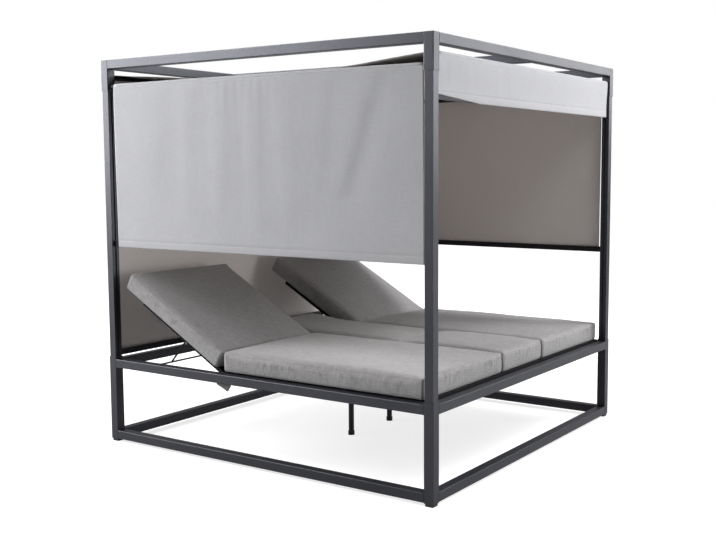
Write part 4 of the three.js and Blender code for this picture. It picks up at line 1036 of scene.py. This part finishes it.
def lay_cushions():
    """Two seats and the split middle row lie flat; the backs' limits are along and above their frames."""
    base, thick, crown = 0.4638, 0.100, 0.016
    foot_end, seat_end = -0.962, 0.228
    left, centre, right = (-0.962, -0.227), (-0.221, 0.221), (0.227, 0.962)
    right_seat = (0.227, 0.9645)
    centre_split = (-0.352, -0.343)
    centre_end, centre_lift = 0.605, 0.026
    cushion("seat_cushion_left", left, (foot_end, seat_end), base, thick, crown, 1.0)
    cushion("seat_cushion_right", right_seat, (-0.964, seat_end), base, thick, crown, 2.0)
    cushion("centre_cushion_front", centre, (foot_end, centre_split[0]), base, thick, crown, 3.0)
    cushion("centre_cushion_rear", centre, (centre_split[1], centre_end), base, thick, crown, 4.0,
            lift=centre_lift)
    back_length = (0.024, 0.774)
    back_base, back_thick, back_crown = 0.0103, 0.092, 0.013
    for side, limits, seed in (("left", left, 5.0), ("right", right, 6.0)):
        cushion(f"back_cushion_{side}", limits, back_length, back_base, back_thick, back_crown, seed,
                raised=True, body=f"{side}_back_pad")


# The tie strap: its plane behind the left rail, and height, rear edge and front edge from the rail
# down to its pointed tip
STRAP_X = -0.9455
STRAP_WAVE = 0.003
STRAP_TURNS = (40, 12)
STRAP_OUTLINE = (
    (0.452, 0.206, 0.280),
    (0.420, 0.200, 0.287),
    (0.388, 0.196, 0.292),
    (0.372, 0.208, 0.256),
    (0.358, 0.219, 0.225),
)
STRAP_COLUMNS = 5


def hang_strap():
    """The end of a cushion's tie strap that hangs below the left rail."""
    grid = np.zeros((len(STRAP_OUTLINE), STRAP_COLUMNS, 3))
    for j, (z, low, high) in enumerate(STRAP_OUTLINE):
        for i, y in enumerate(np.linspace(low, high, STRAP_COLUMNS)):
            wave = STRAP_WAVE * math.sin(STRAP_TURNS[0] * y + STRAP_TURNS[1] * z)
            grid[j, i] = (STRAP_X + wave, y, z)
    widest = (min(low for _, low, _ in STRAP_OUTLINE), max(high for _, _, high in STRAP_OUTLINE))
    uv, edge, width, length = cloth_places(grid, widest)
    strap = thin_sheet("tie_strap_left", grid, uv, edge)
    strap.data.materials[0] = CUSHION_CLOTH
    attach(strap, "bed_frame")


# Socket screws in the side rails

SCREW_RADIUS = 0.0042
SCREW_STANDS_OUT = 0.0007
SOCKET_DEPTH = 0.0012
SOCKET_SHARE = 0.42
FLAT_SHARE = 0.86
RIM_DROP = 0.0003
SCREW_SIDES = 18
RAIL_FACE_X = 0.9997
SCREW_Y = 0.604
SCREW_Z = 0.431


def hexagon_reach(turn):
    """Distance from the middle to a hexagon's side, as a share of the distance to its corner."""
    from_flat = (turn + math.pi / 6) % (math.pi / 3) - math.pi / 6
    return math.cos(math.pi / 6) / math.cos(from_flat)


def socket_screw(name, centre, outward):
    """A socket screw head with its hexagon recess, lying in a rail."""
    # Rings from the socket's floor out to the head's underside: (share of the radius, height, hexagon)
    profile = [
        (SOCKET_SHARE, -SOCKET_DEPTH, True),
        (SOCKET_SHARE, 0.0, True),
        (FLAT_SHARE, 0.0, False),
        (1.0, -RIM_DROP, False),
        (1.0, -SCREW_STANDS_OUT, False),
    ]
    head = bmesh.new()
    rings = []
    for share, height, hexagon in profile:
        ring = []
        for k in range(SCREW_SIDES):
            turn = 2 * math.pi * k / SCREW_SIDES
            reach = SCREW_RADIUS * share * (hexagon_reach(turn) if hexagon else 1)
            ring.append(head.verts.new((reach * math.cos(turn), reach * math.sin(turn), height)))
        rings.append(ring)
    floor = head.verts.new((0, 0, -SOCKET_DEPTH))
    under = head.verts.new((0, 0, -SCREW_STANDS_OUT))
    for ring, following in zip(rings, rings[1:]):
        for k in range(SCREW_SIDES):
            n = (k + 1) % SCREW_SIDES
            head.faces.new((ring[k], ring[n], following[n], following[k]))
    for k in range(SCREW_SIDES):
        n = (k + 1) % SCREW_SIDES
        head.faces.new((floor, rings[0][n], rings[0][k]))
        head.faces.new((under, rings[-1][k], rings[-1][n]))
    bmesh.ops.recalc_face_normals(head, faces=head.faces)
    mesh = bpy.data.meshes.new(name)
    head.to_mesh(mesh)
    head.free()
    mesh.materials.append(SCREW_STEEL)
    piece = bpy.data.objects.new(name, mesh)
    bpy.context.scene.collection.objects.link(piece)
    turn = Vector((0, 0, 1)).rotation_difference(Vector(outward)).to_matrix().to_4x4()
    mesh.transform(Matrix.Translation(Vector(centre)) @ turn)
    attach(piece, "bed_frame")


def fit_screws():
    for side, sign in (("left", -1), ("right", 1)):
        for end, y in (("front", -SCREW_Y), ("rear", SCREW_Y)):
            socket_screw(f"rail_screw_{side}_{end}", (sign * RAIL_FACE_X, y, SCREW_Z), (sign, 0, 0))


# Floor and lamps

FLOOR_HALF = 30.0
# The floor's glow grows from under the bed to the open floor: distances and levels
FLOOR_NEAR, FLOOR_FAR = 1.6, 3.6
GLOW_NEAR, GLOW_FAR = 0.74, 1.0

# Soft boxes: name, place, point that it is aimed at, side and power
BED_CENTRE = (0.0, 0.0, 1.0)
LAMPS = (
    ("back_box", (-2.2, 6.5, 2.6), BED_CENTRE, 2.6, 400),
    ("head_box", (-4.5, 4.0, 2.6), BED_CENTRE, 2.6, 155),
    ("high_head_box", (-3.8, 4.0, 5.0), BED_CENTRE, 2.6, 320),
    ("high_box", (0.0, -5.0, 5.6), BED_CENTRE, 2.6, 144),
    ("high_foot_box", (4.0, -4.0, 6.0), BED_CENTRE, 2.6, 530),
    ("foot_box", (4.0, -4.6, 2.5), BED_CENTRE, 1.8, 72),
    ("far_foot_box", (6.2, -2.4, 3.0), BED_CENTRE, 2.0, 72),
    ("low_front_box", (2.2, -6.4, 1.1), (0.0, 0.0, 0.6), 2.0, 105),
)
WORLD_LEVEL = 0.10
WORLD_MIRRORED = 0.17


def pale_floor():
    """A plain pale floor that the camera sees as almost white, a little less so under the bed."""
    material, tree, shader = blank("floor_white", Base_Color=(0.42, 0.42, 0.42, 1), Roughness=1.0,
                                   Specular_IOR_Level=0.0, Emission_Color=(1, 1, 1, 1))
    distance = put(tree, "ShaderNodeVectorMath", {0: own_place(tree)}, operation="LENGTH").outputs["Value"]
    level = ranged(tree, distance, FLOOR_NEAR, FLOOR_FAR, GLOW_NEAR, GLOW_FAR)
    seen = put(tree, "ShaderNodeLightPath").outputs["Is Camera Ray"]
    feed(tree, shader.inputs["Emission Strength"], sums(tree, "MULTIPLY", seen, level))
    mesh = bpy.data.meshes.new("floor")
    corners = [(x * FLOOR_HALF, y * FLOOR_HALF, 0) for x, y in ((-1, -1), (1, -1), (1, 1), (-1, 1))]
    mesh.from_pydata(corners, [], [(0, 1, 2, 3)])
    mesh.materials.append(material)
    floor = bpy.data.objects.new("floor", mesh)
    bpy.context.scene.collection.objects.link(floor)


def studio():
    """A white backdrop for the camera, a dim world for the light, and the soft boxes."""
    world = bpy.data.worlds.new("studio")
    bpy.context.scene.world = world
    world.use_nodes = True
    tree = world.node_tree
    tree.nodes.clear()
    path = put(tree, "ShaderNodeLightPath").outputs
    seen = sums(tree, "MAXIMUM", path["Is Camera Ray"], path["Is Transmission Ray"])
    mirrored = ranged(tree, path["Is Glossy Ray"], 0.0, 1.0, 0.0, WORLD_MIRRORED)
    strength = sums(tree, "ADD", ranged(tree, seen, 0.0, 1.0, WORLD_LEVEL, 1.0), mirrored)
    back = put(tree, "ShaderNodeBackground", {"Color": (1, 1, 1, 1), "Strength": strength})
    out = put(tree, "ShaderNodeOutputWorld")
    feed(tree, out.inputs["Surface"], back.outputs[0])
    for name, place, aim, side, power in LAMPS:
        soft_light(name, place, aim, side, power)


bpy.context.scene.view_settings.view_transform = "Standard"
photo_camera()
studio()
pale_floor()
dress_solids()
side_roof_cloth()
long_roof_cloth()
hang_curtains()
lay_cushions()
hang_strap()
fit_screws()
